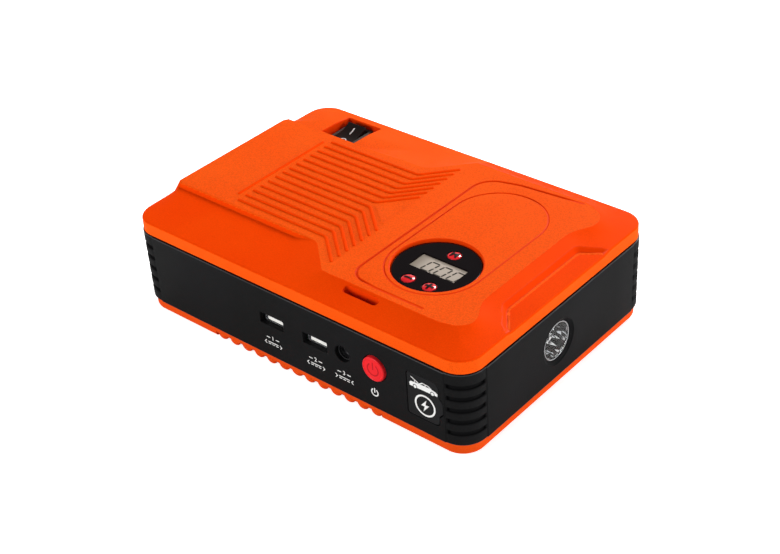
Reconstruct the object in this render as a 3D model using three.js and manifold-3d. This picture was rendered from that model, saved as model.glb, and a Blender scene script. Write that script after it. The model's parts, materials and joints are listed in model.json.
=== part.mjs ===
// A hand-held jump starter pack with a built-in tyre compressor, as a three.js scene in millimetres.
// +X runs along the long side, +Y from the socket side to the back, +Z up from the surface it rests on.
import * as THREE from "three";
import { mergeVertices } from "three/addons/utils/BufferGeometryUtils.js";
import { ConvexGeometry } from "three/addons/geometries/ConvexGeometry.js";
import Module from "manifold-3d";

const wasm = await Module();
wasm.setup();

// ---------- driving dimensions ----------
const caseLength = 194.5;
const caseDepth = 133.7;
const cornerRadius = 12;
const halfLength = caseLength / 2;
const halfDepth = caseDepth / 2;
const buttonProud = 1.3; // the power button stands this far out of the front face

// heights above the surface that the pack rests on
const underside = 1.7;
const floorTop = 4.1;
const bandBottom = 6.7;
const bandTop = bandBottom + 36;
const edgeTop = bandTop + 6.7; // top edge of the orange side wall
const shelfTop = bandTop + 8.9; // the lower shelves, where they meet the deck's step
const backEdgeTop = bandTop + 8.1;
const deckTop = bandTop + 11; // the raised deck with the gauge

const ridge = { width: 1.2, height: 0.4, pitch: 4.96, count: 7 }; // raised lines on the deck

const bandWall = 2.6;
const coverWall = 2.6;
const coverSkin = 2.4;
const deckSkin = 2.5;
const seam = 0.3; // the gap between two casings
const fit = 0.3; // the gap between any two fixed pieces
const topInset = 0.8; // how far the top cover stands back from the band
const bottomInset = 1.4;
const tongueInset = bandWall + fit;
const tongueWall = 1.4;

const socketHeight = 26.6; // middle of the USB sockets
const usbCentres = [-9.95, 15.5];
const jack = { x: 31.15, z: 27.6 };
const power = { x: 49.15, z: 28.4, radius: 5.95 };
const flap = { x0: 66.3, x1: 82.75, z0: 13.8, z1: 35.3, corner: 3, thick: 1.6 };
const lamp = { y: -3.75, z: 24.6, radius: 8.57 };
const gauge = { x: 46.6, y: -21.2, radius: 19.45, top: deckTop - 1.25, thick: 2.05 };
const rocker = { x: -66.25, y: 49.85, width: 15, length: 21, pivot: 45.6, tilt: 12 };
const outletRadius = 6.3; // of the compressor's brass outlet
const board = { bottom: 21.1, top: 22.7 }; // the board behind the sockets
const mainBoard = { bottom: 10, top: 11.6, x0: 4, x1: 62, y0: -36, y1: 8 };
const cell = { x0: -2, x1: 79, y0: 12.3, y1: 61, thick: 7, first: 5.9, pitch: 7.3 };
const crank = { x: -48, z: 25.7, throw: 6, plane: -2.2 };
const toothModule = 0.8;
const crankTeeth = 30;
const pinionTeeth = 10;

// ---------- materials ----------
const finish = (color, roughness, metalness = 0, extra = {}) =>
  new THREE.MeshStandardMaterial({ color, roughness, metalness, ...extra });
const orangePlastic = finish("#f8531a", 0.55);
const blackPlastic = finish("#242424", 0.6);
const blackRubber = finish("#1d1d1d", 0.8);
const redPlastic = finish("#ec3434", 0.35);
const glossBlack = finish("#150a0e", 0.12);
const displayGlass = finish("#9b948c", 0.2);
const whitePlastic = finish("#ecebe6", 0.45);
const steel = finish("#b9bcc0", 0.35, 1);
const chrome = finish("#d8dadd", 0.08, 1);
const brass = finish("#c9a24d", 0.3, 1);
const aluminium = finish("#c4c7ca", 0.4, 1);
const clearPlastic = finish("#ffffff", 0.05, 0, { transparent: true, opacity: 0.3 });
const circuitBoard = finish("#1f5b3a", 0.5);
const cellFoil = finish("#a9adb3", 0.45, 0.6);
const bluePlastic = finish("#2b5fa8", 0.5);
const silicone = finish("#d9d7d0", 0.4);
const redSheath = finish("#b3261e", 0.5);

// ---------- shapes ----------
function roundedRect(x0, x1, y0, y1, radius) {
  const shape = new THREE.Shape();
  const r = Math.max(radius, 0.01);
  shape.absarc(x1 - r, y0 + r, r, -Math.PI / 2, 0);
  shape.absarc(x1 - r, y1 - r, r, 0, Math.PI / 2);
  shape.absarc(x0 + r, y1 - r, r, Math.PI / 2, Math.PI);
  shape.absarc(x0 + r, y0 + r, r, Math.PI, 1.5 * Math.PI);
  return shape;
}

// the plan of the case, drawn in by inset
function plan(inset) {
  return roundedRect(
    inset - halfLength,
    halfLength - inset,
    inset - halfDepth,
    halfDepth - inset,
    cornerRadius - inset,
  );
}

const polygon = (points) => new THREE.Shape(points.map(([x, y]) => new THREE.Vector2(x, y)));

// a bent strip of even width along the given points
function strip(points, width) {
  const path = points.map(([x, y]) => new THREE.Vector2(x, y));
  const runs = path.slice(1).map((p, i) => p.clone().sub(path[i]).normalize());
  const across = path.map((_, i) => {
    const before = runs[Math.max(i - 1, 0)];
    const after = runs[Math.min(i, runs.length - 1)];
    const sum = new THREE.Vector2(-before.y - after.y, before.x + after.x);
    return sum.multiplyScalar(width / 2 / (1 + before.dot(after)));
  });
  const left = path.map((p, i) => p.clone().add(across[i]));
  const right = path.map((p, i) => p.clone().sub(across[i]));
  return new THREE.Shape([...right, ...left.reverse()]);
}

function circleShape(x, y, radius, sides = 24) {
  const turn = (i) => ((i + 0.5) / sides) * 2 * Math.PI;
  const corners = Array.from({ length: sides }, (_, i) => [
    x + radius * Math.cos(turn(i)),
    y + radius * Math.sin(turn(i)),
  ]);
  return polygon(corners);
}

// ---------- solids ----------
function solid(geometry) {
  const plain = geometry.index ? geometry.toNonIndexed() : geometry.clone();
  plain.deleteAttribute("normal");
  plain.deleteAttribute("uv");
  const merged = mergeVertices(plain, 1e-4);
  const vertProperties = merged.attributes.position.array;
  const triVerts = new Uint32Array(merged.index.array);
  const made = new wasm.Manifold(new wasm.Mesh({ numProp: 3, vertProperties, triVerts }));
  if (made.volume() > 0) return made;
  return new wasm.Manifold(new wasm.Mesh({ numProp: 3, vertProperties, triVerts: triVerts.reverse() }));
}

function geometryOf(made) {
  const mesh = made.getMesh();
  const geometry = new THREE.BufferGeometry();
  geometry.setAttribute("position", new THREE.BufferAttribute(mesh.vertProperties, 3));
  geometry.setIndex(new THREE.BufferAttribute(mesh.triVerts, 1));
  return geometry.toNonIndexed();
}

const toX = new THREE.Matrix4().makeBasis(
  new THREE.Vector3(0, 1, 0),
  new THREE.Vector3(0, 0, 1),
  new THREE.Vector3(1, 0, 0),
);
const toY = new THREE.Matrix4().makeBasis(
  new THREE.Vector3(1, 0, 0),
  new THREE.Vector3(0, 0, 1),
  new THREE.Vector3(0, -1, 0),
);

function extruded(shape, depth) {
  return new THREE.ExtrudeGeometry(shape, { depth, bevelEnabled: false, curveSegments: 3 });
}
// a shape in X and Y from z0 up to z1
const alongZ = (shape, z0, z1) => solid(extruded(shape, z1 - z0).translate(0, 0, z0));
// a shape in X and Z from y0 back to y1
const alongY = (shape, y0, y1) => solid(extruded(shape, y1 - y0).applyMatrix4(toY).translate(0, y1, 0));
// a shape in Y and Z from x0 to x1
const alongX = (shape, x0, x1) => solid(extruded(shape, x1 - x0).applyMatrix4(toX).translate(x0, 0, 0));

function box(x0, x1, y0, y1, z0, z1) {
  const block = new THREE.BoxGeometry(x1 - x0, y1 - y0, z1 - z0);
  return solid(block.translate((x0 + x1) / 2, (y0 + y1) / 2, (z0 + z1) / 2));
}

const hull = (points) => solid(new ConvexGeometry(points.map((p) => new THREE.Vector3(...p))));

const join = (...pieces) => pieces.reduce((all, piece) => all.add(piece));
const cut = (body, ...tools) => tools.reduce((left, tool) => left.subtract(tool), body);

// a turned piece: [radius, height] pairs round an axis through the given place
function turned(profile, axis, [x, y, z], sides = 20) {
  const points = profile.map(([radius, height]) => new THREE.Vector2(radius, height));
  const lathe = new THREE.LatheGeometry(points, sides, Math.PI / sides);
  if (axis === "x") lathe.rotateZ(-Math.PI / 2);
  if (axis === "z") lathe.rotateX(Math.PI / 2);
  return solid(lathe.translate(x, y, z));
}

function tube(points, radius, sides, steps) {
  const path = new THREE.CatmullRomCurve3(points.map((p) => new THREE.Vector3(...p)));
  const section = circleShape(0, 0, radius, sides);
  return solid(new THREE.ExtrudeGeometry(section, { extrudePath: path, steps, bevelEnabled: false }));
}

// ---------- the object ----------
const pack = new THREE.Group();
// set back so that the origin is under the middle, with the power button counted in
pack.position.y = buttonProud / 2;

function add(name, made, material) {
  const mesh = new THREE.Mesh(geometryOf(made), material);
  mesh.geometry.computeVertexNormals();
  mesh.name = name;
  pack.add(mesh);
}

// ---------- screws that hold the two covers together ----------
const postRadius = 3.6;
const postSplit = 29.5; // height at which the lower posts meet the upper ones
const pilotRadius = 1.75;
const shankRadius = 1.5;
const headRadius = 2.9;
const screwPlaces = [
  [-88, -54],
  [88, -54],
  [88, 54],
  [-88, 54],
  [-56, -57.2],
  [-14, 57.8],
];
const headSeat = 8.1; // the screw heads bear here, up inside their bores

function caseScrew([x, y]) {
  const profile = [
    [0, 5.3],
    [headRadius - 0.6, 5.3],
    [headRadius, 6.1],
    [headRadius, headSeat - 0.2],
    [shankRadius, headSeat - 0.2],
    [shankRadius, 37],
    [0.4, 38.5],
    [0, 38.5],
  ];
  return turned(profile, "z", [x, y, 0], 10);
}

// ---------- top cover ----------
const stepFront = -37.15;
const stepBack = 38.25;
const deckLeft = -96;
const deckBend = -7.45; // where the deck starts to widen
const deckWide = 9.45; // where it has its full width
const deckFront = -52.7;
const deckBehind = 56.15;
const waist = 78.35;
const creaseFront = -1.75; // where the hip's crease reaches the front edge
const creaseBack = -2.5;
const edgeX = halfLength - topInset;
const edgeY = halfDepth - topInset;
const slopeFoot = edgeTop - 5; // bottom of the blocks that carry the slopes

function outerDeck() {
  const leftDeck = polygon([
    [deckLeft, stepFront],
    [deckBend, stepFront],
    [deckWide, deckFront],
    [deckWide, deckBehind],
    [deckBend, stepBack],
    [deckLeft, stepBack],
  ]);
  const far = cornerRadius - topInset;
  const rounding = (side) =>
    [0, 1, 2, 3, 4].map((i) => {
      const a = (i / 4) * (Math.PI / 2);
      return [edgeX - far + far * Math.sin(a), side * (edgeY - far + far * Math.cos(a)), edgeTop];
    });
  const under = (points) => points.map(([x, y]) => [x, y, slopeFoot]);
  const block = (points) => hull([...points, ...under(points)]);
  const hip = block([
    [creaseFront, -edgeY, edgeTop],
    ...rounding(-1),
    ...rounding(1),
    [creaseBack, edgeY, edgeTop],
    [deckWide, deckFront, deckTop],
    [72, deckFront, deckTop],
    [waist, -44, deckTop],
    [waist, 45, deckTop],
    [72, deckBehind - 0.6, deckTop],
    [deckWide, deckBehind, deckTop],
  ]);
  const frontLobe = block([
    [60, -edgeY, edgeTop],
    ...rounding(-1),
    [edgeX, -36, edgeTop],
    [60, deckFront, deckTop],
    [72, deckFront, deckTop],
    [80, -50.8, deckTop],
    [83.6, -47.2, deckTop],
    [84.25, -42, deckTop],
    [waist, -32.1, deckTop],
    [60, -32.1, deckTop],
  ]);
  const backLobe = block([
    [60, edgeY, edgeTop],
    ...rounding(1),
    [edgeX, 36, edgeTop],
    [60, deckBehind, deckTop],
    [73, 55.3, deckTop],
    [81, 51.4, deckTop],
    [83.6, 46.5, deckTop],
    [83.75, 42.2, deckTop],
    [waist, 32.3, deckTop],
    [60, 32.3, deckTop],
  ]);
  const shelf = (xEnd, y0, z0, y1, z1) =>
    block([
      [-halfLength, y0, z0],
      [xEnd, y0, z0],
      [xEnd, y1, z1],
      [-halfLength, y1, z1],
    ]);
  // from the shelf up to the corner where the deck has its full width
  const ramp = (xEnd, y0, z0, y1, corner) =>
    block([
      [xEnd, y0, z0],
      [deckBend - 14, y1, shelfTop],
      [deckBend, y1, shelfTop + 0.3],
      [deckWide, corner, deckTop],
    ]);
  const shelves = join(
    shelf(creaseFront, -edgeY, edgeTop, stepFront + 1, shelfTop),
    shelf(creaseBack, edgeY, backEdgeTop, stepBack - 1, shelfTop),
    ramp(creaseFront, -edgeY, edgeTop, stepFront + 1, deckFront),
    ramp(creaseBack, edgeY, backEdgeTop, stepBack - 1, deckBehind),
  );
  const upper = join(alongZ(leftDeck, slopeFoot, deckTop), hip, frontLobe, backLobe, shelves);
  const blank = join(alongZ(plan(topInset), bandTop + seam, edgeTop), upper);
  return blank.intersect(alongZ(plan(topInset), bandTop + seam, deckTop + 1));
}

// two sets of raised lines that fan out where the deck widens, and a crossing line at their left end
function deckRidges() {
  const left = -60;
  const bend = -6.5;
  const line = (points, width = ridge.width) =>
    alongZ(strip(points, width), deckTop - 0.5, deckTop + ridge.height);
  const fan = Array.from({ length: ridge.count }, (_, i) => {
    const back = 2.05 + i * ridge.pitch;
    const front = -2.4 - i * ridge.pitch;
    return [
      line([
        [left, back],
        [bend, back],
        [6.5, back + 14.4],
      ]),
      line([
        [left, front],
        [bend, front],
        [8.4, front - 13],
      ]),
    ];
  });
  const crossing = line([
    [-64, -28],
    [-64, 29.3],
  ]);
  const fork = line(
    [
      [-4.5, -0.4],
      [7.9, -10.3],
      [7.9, 11.5],
    ],
    0.7,
  );
  return [...fan.flat(), crossing, fork];
}

// the long flank beside the lamp is cut a little deeper than the corners
function flankRecess() {
  const depth = 0.8;
  const slope = (deckTop - edgeTop) / (halfLength - topInset - waist);
  const heightAt = (x) => deckTop - (x - waist) * slope - depth;
  const inner = 86.5;
  const outer = halfLength + 1;
  const place = (x, y, lift) => [x, y, heightAt(x) + lift];
  const corners = [
    [inner, -24.5],
    [inner, 24.5],
    [outer, 35.5],
    [outer, -40.5],
  ];
  return hull(corners.flatMap(([x, y]) => [place(x, y, 0), place(x, y, 4)]));
}

function topCover() {
  const cavityTop = edgeTop - coverSkin;
  const deckCavity = polygon([
    [-93.4, stepFront + deckSkin],
    [deckBend + 1, stepFront + deckSkin],
    [deckWide + 1, deckFront + 2.7],
    [75.5, deckFront + 2.7],
    [75.5, deckBehind - 3.15],
    [deckWide + 1, deckBehind - 3.15],
    [deckBend + 1, stepBack - deckSkin],
    [-93.4, stepBack - deckSkin],
  ]);
  const tongue = cut(
    alongZ(plan(tongueInset), bandTop - 2.5, bandTop + 3),
    alongZ(plan(tongueInset + tongueWall), bandTop - 3, bandTop + 4),
  );
  const shell = join(
    cut(
      outerDeck(),
      alongZ(plan(topInset + coverWall), bandTop - 1, cavityTop),
      alongZ(deckCavity, bandTop, deckTop - deckSkin),
    ),
    tongue,
  );
  // the well for the rocker switch
  const wellFloor = rocker.pivot;
  const wellLeft = rocker.x - 8.5;
  const wellRight = wellLeft + 20.8; // wider than the switch, so that a finger fits beside it
  const wellBack = rocker.y + rocker.length / 2 + fit;
  const well = box(wellLeft - 2, wellRight + 2, stepBack - 2, wellBack + 2, wellFloor - 2.2, edgeTop - 1);
  const wellSpace = box(wellLeft, wellRight, stepBack, wellBack, wellFloor, deckTop + 1);
  const switchHole = box(
    rocker.x - 6.7,
    rocker.x + 6.7,
    rocker.y - 9.8,
    rocker.y + 9.8,
    wellFloor - 4,
    wellFloor + 1,
  );
  // the seat for the gauge
  const seatTop = gauge.top - gauge.thick - fit;
  const at = [gauge.x, gauge.y, 0];
  const seat = turned(
    [
      [0, seatTop - 1.8],
      [22.2, seatTop - 1.8],
      [22.2, deckTop - 1],
      [0, deckTop - 1],
    ],
    "z",
    at,
    48,
  );
  const seatHole = turned(
    [
      [0, seatTop - 3],
      [18.45, seatTop - 3],
      [18.45, seatTop],
      [gauge.radius + 0.35, seatTop],
      [gauge.radius + 0.35, deckTop - 0.6],
      [gauge.radius + 0.95, deckTop],
      [gauge.radius + 0.95, deckTop + 1],
      [0, deckTop + 1],
    ],
    "z",
    at,
    48,
  );
  const ventSlot = alongZ(roundedRect(24.7, 43.2, -57.3, -53.9, 1.6), cavityTop - 1, deckTop);
  const posts = screwPlaces.map(([x, y]) =>
    turned(
      [
        [0, postSplit + fit],
        [postRadius, postSplit + fit],
        [postRadius, cavityTop + 1],
        [0, cavityTop + 1],
      ],
      "z",
      [x, y, 0],
      12,
    ),
  );
  const pilots = screwPlaces.map(([x, y]) =>
    turned(
      [
        [0, postSplit - 1],
        [pilotRadius, postSplit - 1],
        [pilotRadius, cavityTop - 5],
        [0, cavityTop - 5],
      ],
      "z",
      [x, y, 0],
      12,
    ),
  );
  const filled = join(shell, well, seat, ...posts, ...deckRidges());
  return cut(filled, flankRecess(), wellSpace, switchHole, seatHole, ventSlot, ...pilots);
}

// ---------- bottom cover ----------
const ribPitch = 7.7;
const ribCount = 13;

// a rounded bar across the underside, flat where it meets the ground
function footRib(x, radius) {
  const reach = radius / Math.cos(Math.PI / 8);
  const ring = (y, r) =>
    Array.from({ length: 8 }, (_, i) => {
      const a = ((i + 0.5) / 8) * 2 * Math.PI;
      return [x + r * Math.cos(a), y, radius + r * Math.sin(a)];
    });
  const end = halfDepth - 1.2 - radius;
  const rings = [-1, 1].flatMap((side) => [
    ...ring(side * end, reach),
    ...ring(side * (end + 0.7 * radius), 0.72 * reach),
    ...ring(side * (end + radius), 0.25 * reach),
  ]);
  return hull(rings);
}

function bottomCover() {
  const ring = (inset, z) =>
    plan(inset)
      .getPoints(3)
      .map((p) => [p.x, p.y, z]);
  const tray = hull([
    ...ring(bottomInset + 1.4, underside),
    ...ring(bottomInset + 0.2, underside + 1.6),
    ...ring(bottomInset, bandBottom - seam),
  ]);
  const middle = (ribCount - 1) / 2;
  const ribs = Array.from({ length: ribCount }, (_, i) =>
    footRib((i - middle) * ribPitch, i === middle ? 3.8 : 3.3),
  );
  const tongue = alongZ(plan(tongueInset), floorTop - 1, bandBottom + 2.5);
  const cavity = alongZ(plan(tongueInset + tongueWall), floorTop, bandTop);
  const hollow = cut(join(tray, ...ribs, tongue), cavity);
  const posts = screwPlaces.map(([x, y]) =>
    turned(
      [
        [0, floorTop - 1],
        [5.2, floorTop - 1],
        [5.2, headSeat + 2],
        [postRadius, headSeat + 4],
        [postRadius, postSplit],
        [0, postSplit],
      ],
      "z",
      [x, y, 0],
      12,
    ),
  );
  const bores = screwPlaces.map(([x, y]) =>
    turned(
      [
        [0, -1],
        [headRadius + 0.4, -1],
        [headRadius + 0.4, headSeat],
        [pilotRadius, headSeat],
        [pilotRadius, postSplit + 1],
        [0, postSplit + 1],
      ],
      "z",
      [x, y, 0],
      12,
    ),
  );
  const peg = (x, y, top) => box(x - 2, x + 2, y - 2, y + 2, floorTop - 1, top);
  const pegs = [
    peg(-16, -44, board.bottom - fit),
    peg(56, -44, board.bottom - fit),
    peg(8, -32, mainBoard.bottom - fit),
    peg(58, 4, mainBoard.bottom - fit),
  ];
  return cut(join(hollow, ...posts, ...pegs), ...bores);
}

// ---------- the black band with the sockets ----------
const slotCount = 5;
const slotPitch = 5.9;
const slotHeight = 2.8;
const slotReach = 11.5; // from each corner's faces

function cornerBoxes(z0, z1) {
  const near = slotReach;
  const boxes = [-1, 1].flatMap((sx) =>
    [-1, 1].map((sy) => {
      const x = [sx * (halfLength - near), sx * (halfLength + 1)].sort((a, b) => a - b);
      const y = [sy * (halfDepth - near), sy * (halfDepth + 1)].sort((a, b) => a - b);
      return box(x[0], x[1], y[0], y[1], z0, z1);
    }),
  );
  return join(...boxes);
}

function skinLayer(depth, z0, z1) {
  return cut(alongZ(plan(-0.5), z0, z1), alongZ(plan(depth), z0 - 1, z1 + 1));
}

function cornerGrips() {
  const middle = (bandBottom + bandTop) / 2 - 0.3;
  const pad = skinLayer(0.4, bandBottom - 1, bandTop + 1).intersect(
    cornerBoxes(bandBottom - 1, bandTop + 1),
  );
  const slots = Array.from({ length: slotCount }, (_, i) => {
    const z = middle + (i - (slotCount - 1) / 2) * slotPitch;
    const z0 = z - slotHeight / 2;
    const z1 = z + slotHeight / 2;
    return skinLayer(1.5, z0, z1).intersect(cornerBoxes(z0 - 1, z1 + 1));
  });
  return join(pad, ...slots);
}

const faceY = -halfDepth;
const usbMouth = { width: 13.9, height: 5.5 };
const startCavity = { x0: 69.4, x1: 80, z0: 15.9, z1: 33.2 };
const tab = { x1: 84.75, z0: 19.8, z1: 27.3 };

// the outline of the starter cover, with its finger tab, grown by gap
function flapShape(gap) {
  const { x0, x1, z0, z1, corner: r } = flap;
  const shape = new THREE.Shape();
  shape.absarc(x1 + gap - r, z0 - gap + r, r, -Math.PI / 2, 0);
  shape.lineTo(x1 + gap, tab.z0 - gap - 1);
  shape.lineTo(tab.x1 + gap, tab.z0 - gap + 1);
  shape.lineTo(tab.x1 + gap, tab.z1 + gap - 1);
  shape.lineTo(x1 + gap, tab.z1 + gap + 1);
  shape.absarc(x1 + gap - r, z1 + gap - r, r, 0, Math.PI / 2);
  shape.absarc(x0 - gap + 1, z1 + gap - 1, 1, Math.PI / 2, Math.PI);
  shape.absarc(x0 - gap + 1, z0 - gap + 1, 1, Math.PI, 1.5 * Math.PI);
  return shape;
}

function socketBand() {
  const ring = cut(
    alongZ(plan(0), bandBottom, bandTop),
    alongZ(plan(bandWall), bandBottom - 1, bandTop + 1),
  );
  const backing = box(flap.x0 - 1.5, 86.5, faceY + 2, faceY + 4.4, 11.8, 37.2);
  const lampHolder = turned(
    [
      [0, 84],
      [11.2, 84],
      [11.2, halfLength - 1.5],
      [0, halfLength - 1.5],
    ],
    "x",
    [0, lamp.y, lamp.z],
    28,
  );
  const lampHole = turned(
    [
      [0, 80],
      [lamp.radius + 0.75, 80],
      [lamp.radius + 0.75, halfLength - 0.9],
      [lamp.radius + 1.9, halfLength - 0.5],
      [lamp.radius + 2.3, halfLength + 1],
      [0, halfLength + 1],
    ],
    "x",
    [0, lamp.y, lamp.z],
    32,
  );
  const usbHoles = usbCentres.map((x) =>
    alongY(
      roundedRect(
        x - usbMouth.width / 2,
        x + usbMouth.width / 2,
        socketHeight - usbMouth.height / 2,
        socketHeight + usbMouth.height / 2,
        0.3,
      ),
      faceY - 1,
      faceY + bandWall + 1,
    ),
  );
  const through = (x, z, radius) =>
    alongY(circleShape(x, z, radius, 28), faceY - 1, faceY + bandWall + 1);
  const pocket = alongY(flapShape(0.25), faceY - 1, faceY + flap.thick + 0.4);
  const mouth = box(
    startCavity.x0 - 0.6,
    startCavity.x1 + 0.6,
    faceY - 1,
    faceY + 6,
    startCavity.z0 - 0.3,
    startCavity.z1 + 0.3,
  );
  const outletHole = alongX(circleShape(crank.plane, crank.z, outletRadius + fit, 24), -halfLength - 1, -90);
  return cut(
    join(ring, backing, lampHolder),
    lampHole,
    ...usbHoles,
    through(jack.x, jack.z, 4.1),
    through(power.x, power.z, power.radius + 0.3),
    pocket,
    mouth,
    outletHole,
    cornerGrips(),
  );
}

// ---------- sockets, switches and boards on the front ----------
function usbShell(x) {
  const outer = { w: 6.3, h: 2.5, y0: faceY + 2.5, y1: faceY + 17 };
  const wall = 0.4;
  const sleeve = (w, h, y0, y1) =>
    alongY(roundedRect(x - w, x + w, socketHeight - h, socketHeight + h, 0.5), y0, y1);
  return cut(
    sleeve(outer.w, outer.h, outer.y0, outer.y1),
    sleeve(outer.w - wall, outer.h - wall, outer.y0 - 1, outer.y1 - wall),
  );
}

function usbTongue(x) {
  const low = socketHeight - 1.8;
  return join(
    box(x - 4.7, x + 4.7, faceY + 2.7, faceY + 15, low, low + 2.4),
    box(x - 5.4, x + 5.4, faceY + 12, faceY + 16.2, low, low + 3.6),
  );
}

function jackBody() {
  const body = box(jack.x - 4.5, jack.x + 4.5, faceY + 2.9, faceY + 14.5, board.top + fit, jack.z + 4.6);
  const collar = alongY(circleShape(jack.x, jack.z, 3.8, 24), faceY + 1.9, faceY + 3.5);
  const bore = alongY(circleShape(jack.x, jack.z, 3.1, 16), faceY + 1, faceY + 12.5);
  const pinHole = alongY(circleShape(jack.x, jack.z, 1.3, 12), faceY + 12, faceY + 15);
  return cut(join(body, collar), bore, pinHole);
}

const powerFlange = faceY + bandWall + 0.4;

function powerButton() {
  const profile = [
    [0, faceY - buttonProud],
    [power.radius - 0.7, faceY - buttonProud],
    [power.radius, faceY - buttonProud + 0.5],
    [power.radius, powerFlange],
    [power.radius + 1.2, powerFlange],
    [power.radius + 1.2, powerFlange + 1],
    [2, powerFlange + 1],
    [2, powerFlange + 2.4],
    [0, powerFlange + 2.4],
  ];
  return turned(profile, "y", [power.x, 0, power.z], 24);
}

function starterFlap() {
  return alongY(flapShape(0), faceY + 0.1, faceY + 0.1 + flap.thick);
}

function starterSocket() {
  const { x0, x1, z0, z1 } = startCavity;
  const front = faceY + 4.7;
  const chamfer = 2.4;
  const shape = (grow) =>
    polygon([
      [x0 - grow, z0 - grow],
      [x1 + grow, z0 - grow],
      [x1 + grow, z1 + grow - chamfer],
      [x1 + grow - chamfer, z1 + grow],
      [x0 - grow + chamfer, z1 + grow],
      [x0 - grow, z1 + grow - chamfer],
    ]);
  const holes = contactHeights.map((z) =>
    alongY(circleShape(contactX, z, contactRadius + 0.2, 16), front, front + 26),
  );
  return cut(alongY(shape(1.6), front, front + 22), alongY(shape(0), front - 1, front + 14), ...holes);
}

const contactX = (startCavity.x0 + startCavity.x1) / 2;
const contactHeights = [-4.3, 4.3].map((dz) => (startCavity.z0 + startCavity.z1) / 2 + dz);
const contactRadius = 2.6;

function starterContact(z) {
  const y0 = faceY + 8.4;
  const tip = alongY(circleShape(contactX, z, contactRadius, 16), y0, y0 + 20.5);
  const bore = alongY(circleShape(contactX, z, 1.7, 12), y0 - 1, y0 + 9);
  return cut(tip, bore);
}

// ---------- lamp ----------
function lampLens() {
  const x = halfLength - 2.3;
  const profile = [
    [0, x],
    [lamp.radius, x],
    [lamp.radius, x + 1],
    [lamp.radius - 0.5, x + 1.3],
    [0, x + 1.6],
  ];
  return turned(profile, "x", [0, lamp.y, lamp.z], 28);
}

function lampReflector() {
  const front = halfLength - 2.6;
  const depth = 10;
  const bowl = (t) => 2.6 + (lamp.radius - 3) * Math.sqrt(t);
  const steps = [0, 0.12, 0.45, 1];
  const inside = steps.map((t) => [bowl(t), front - depth + depth * t]);
  const outside = [...inside].reverse().map(([r, x], i) => [r + 0.7, i === 0 ? x : x - 0.5]);
  return turned([...inside, ...outside, inside[0]], "x", [0, lamp.y, lamp.z], 28);
}

function lampLed() {
  const x = halfLength - 13.2;
  const profile = [
    [0, x - 1.6],
    [2.1, x - 1.6],
    [2.1, x],
    [1.6, x + 0.1],
    [1.2, x + 1.1],
    [0, x + 1.5],
  ];
  return turned(profile, "x", [0, lamp.y, lamp.z], 16);
}

// ---------- gauge ----------
const gaugeButtons = { mode_button: [0.8, 11.2], minus_button: [-4.6, -13.4], plus_button: [6.6, -13.2] };
const gaugeButtonRadius = 3.1;
const pane = { x: gauge.x + 0.8, y: gauge.y + 0.2, w: 24.4, h: 10.5 };
const fasciaBottom = gauge.top - gauge.thick;

function fascia() {
  const disc = turned(
    [
      [0, fasciaBottom],
      [gauge.radius, fasciaBottom],
      [gauge.radius, gauge.top - 0.4],
      [gauge.radius - 0.4, gauge.top],
      [0, gauge.top],
    ],
    "z",
    [gauge.x, gauge.y, 0],
    48,
  );
  const opening = box(
    pane.x - pane.w / 2,
    pane.x + pane.w / 2,
    pane.y - pane.h / 2,
    pane.y + pane.h / 2,
    fasciaBottom - 1,
    gauge.top + 1,
  );
  const holes = Object.values(gaugeButtons).map(([dx, dy]) =>
    alongZ(
      circleShape(gauge.x + dx, gauge.y + dy, gaugeButtonRadius + 0.25, 16),
      fasciaBottom - 1,
      gauge.top + 1,
    ),
  );
  return cut(disc, opening, ...holes);
}

function display() {
  const slab = (grow, z0, z1) => {
    const dx = pane.w / 2 + grow;
    const dy = pane.h / 2 + grow;
    return box(pane.x - dx, pane.x + dx, pane.y - dy, pane.y + dy, z0, z1);
  };
  return join(
    slab(1.3, fasciaBottom - 2.8, fasciaBottom - fit),
    slab(-0.2, fasciaBottom - 1, gauge.top - 0.5),
  );
}

// a cap with a lip under the fascia and a short stem over the switch on the board
function gaugeButton([dx, dy]) {
  const r = gaugeButtonRadius;
  const profile = [
    [0, fasciaBottom - 2.8],
    [1.2, fasciaBottom - 2.8],
    [1.2, fasciaBottom - 1.4],
    [r + 0.35, fasciaBottom - 1.4],
    [r + 0.35, fasciaBottom - 0.4],
    [r, fasciaBottom - 0.4],
    [r, gauge.top + 0.2],
    [r - 0.6, gauge.top + 0.45],
    [0, gauge.top + 0.5],
  ];
  return turned(profile, "z", [gauge.x + dx, gauge.y + dy, 0], 16);
}

function gaugeBoard() {
  const top = fasciaBottom - 3.4;
  return turned(
    [
      [0, top - 1.6],
      [16.8, top - 1.6],
      [16.8, top],
      [0, top],
    ],
    "z",
    [gauge.x, gauge.y, 0],
    24,
  );
}

// ---------- rocker switch ----------
function switchBody() {
  const { x, y, width, length } = rocker;
  const low = rocker.pivot + fit;
  const bezelTop = low + 1.5;
  const bezel = box(x - width / 2, x + width / 2, y - length / 2, y + length / 2, low, bezelTop);
  const body = box(x - 6.4, x + 6.4, y - 9.5, y + 9.5, low - 17, low + 0.5);
  const mouth = box(x - 5.8, x + 5.8, y - 8.75, y + 8.75, low - 9.5, bezelTop + 1);
  const blade = (dy) => box(x - 2.4, x + 2.4, y + dy - 0.4, y + dy + 0.4, low - 24, low - 16);
  return cut(join(bezel, body, blade(-6), blade(6)), mouth);
}

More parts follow.
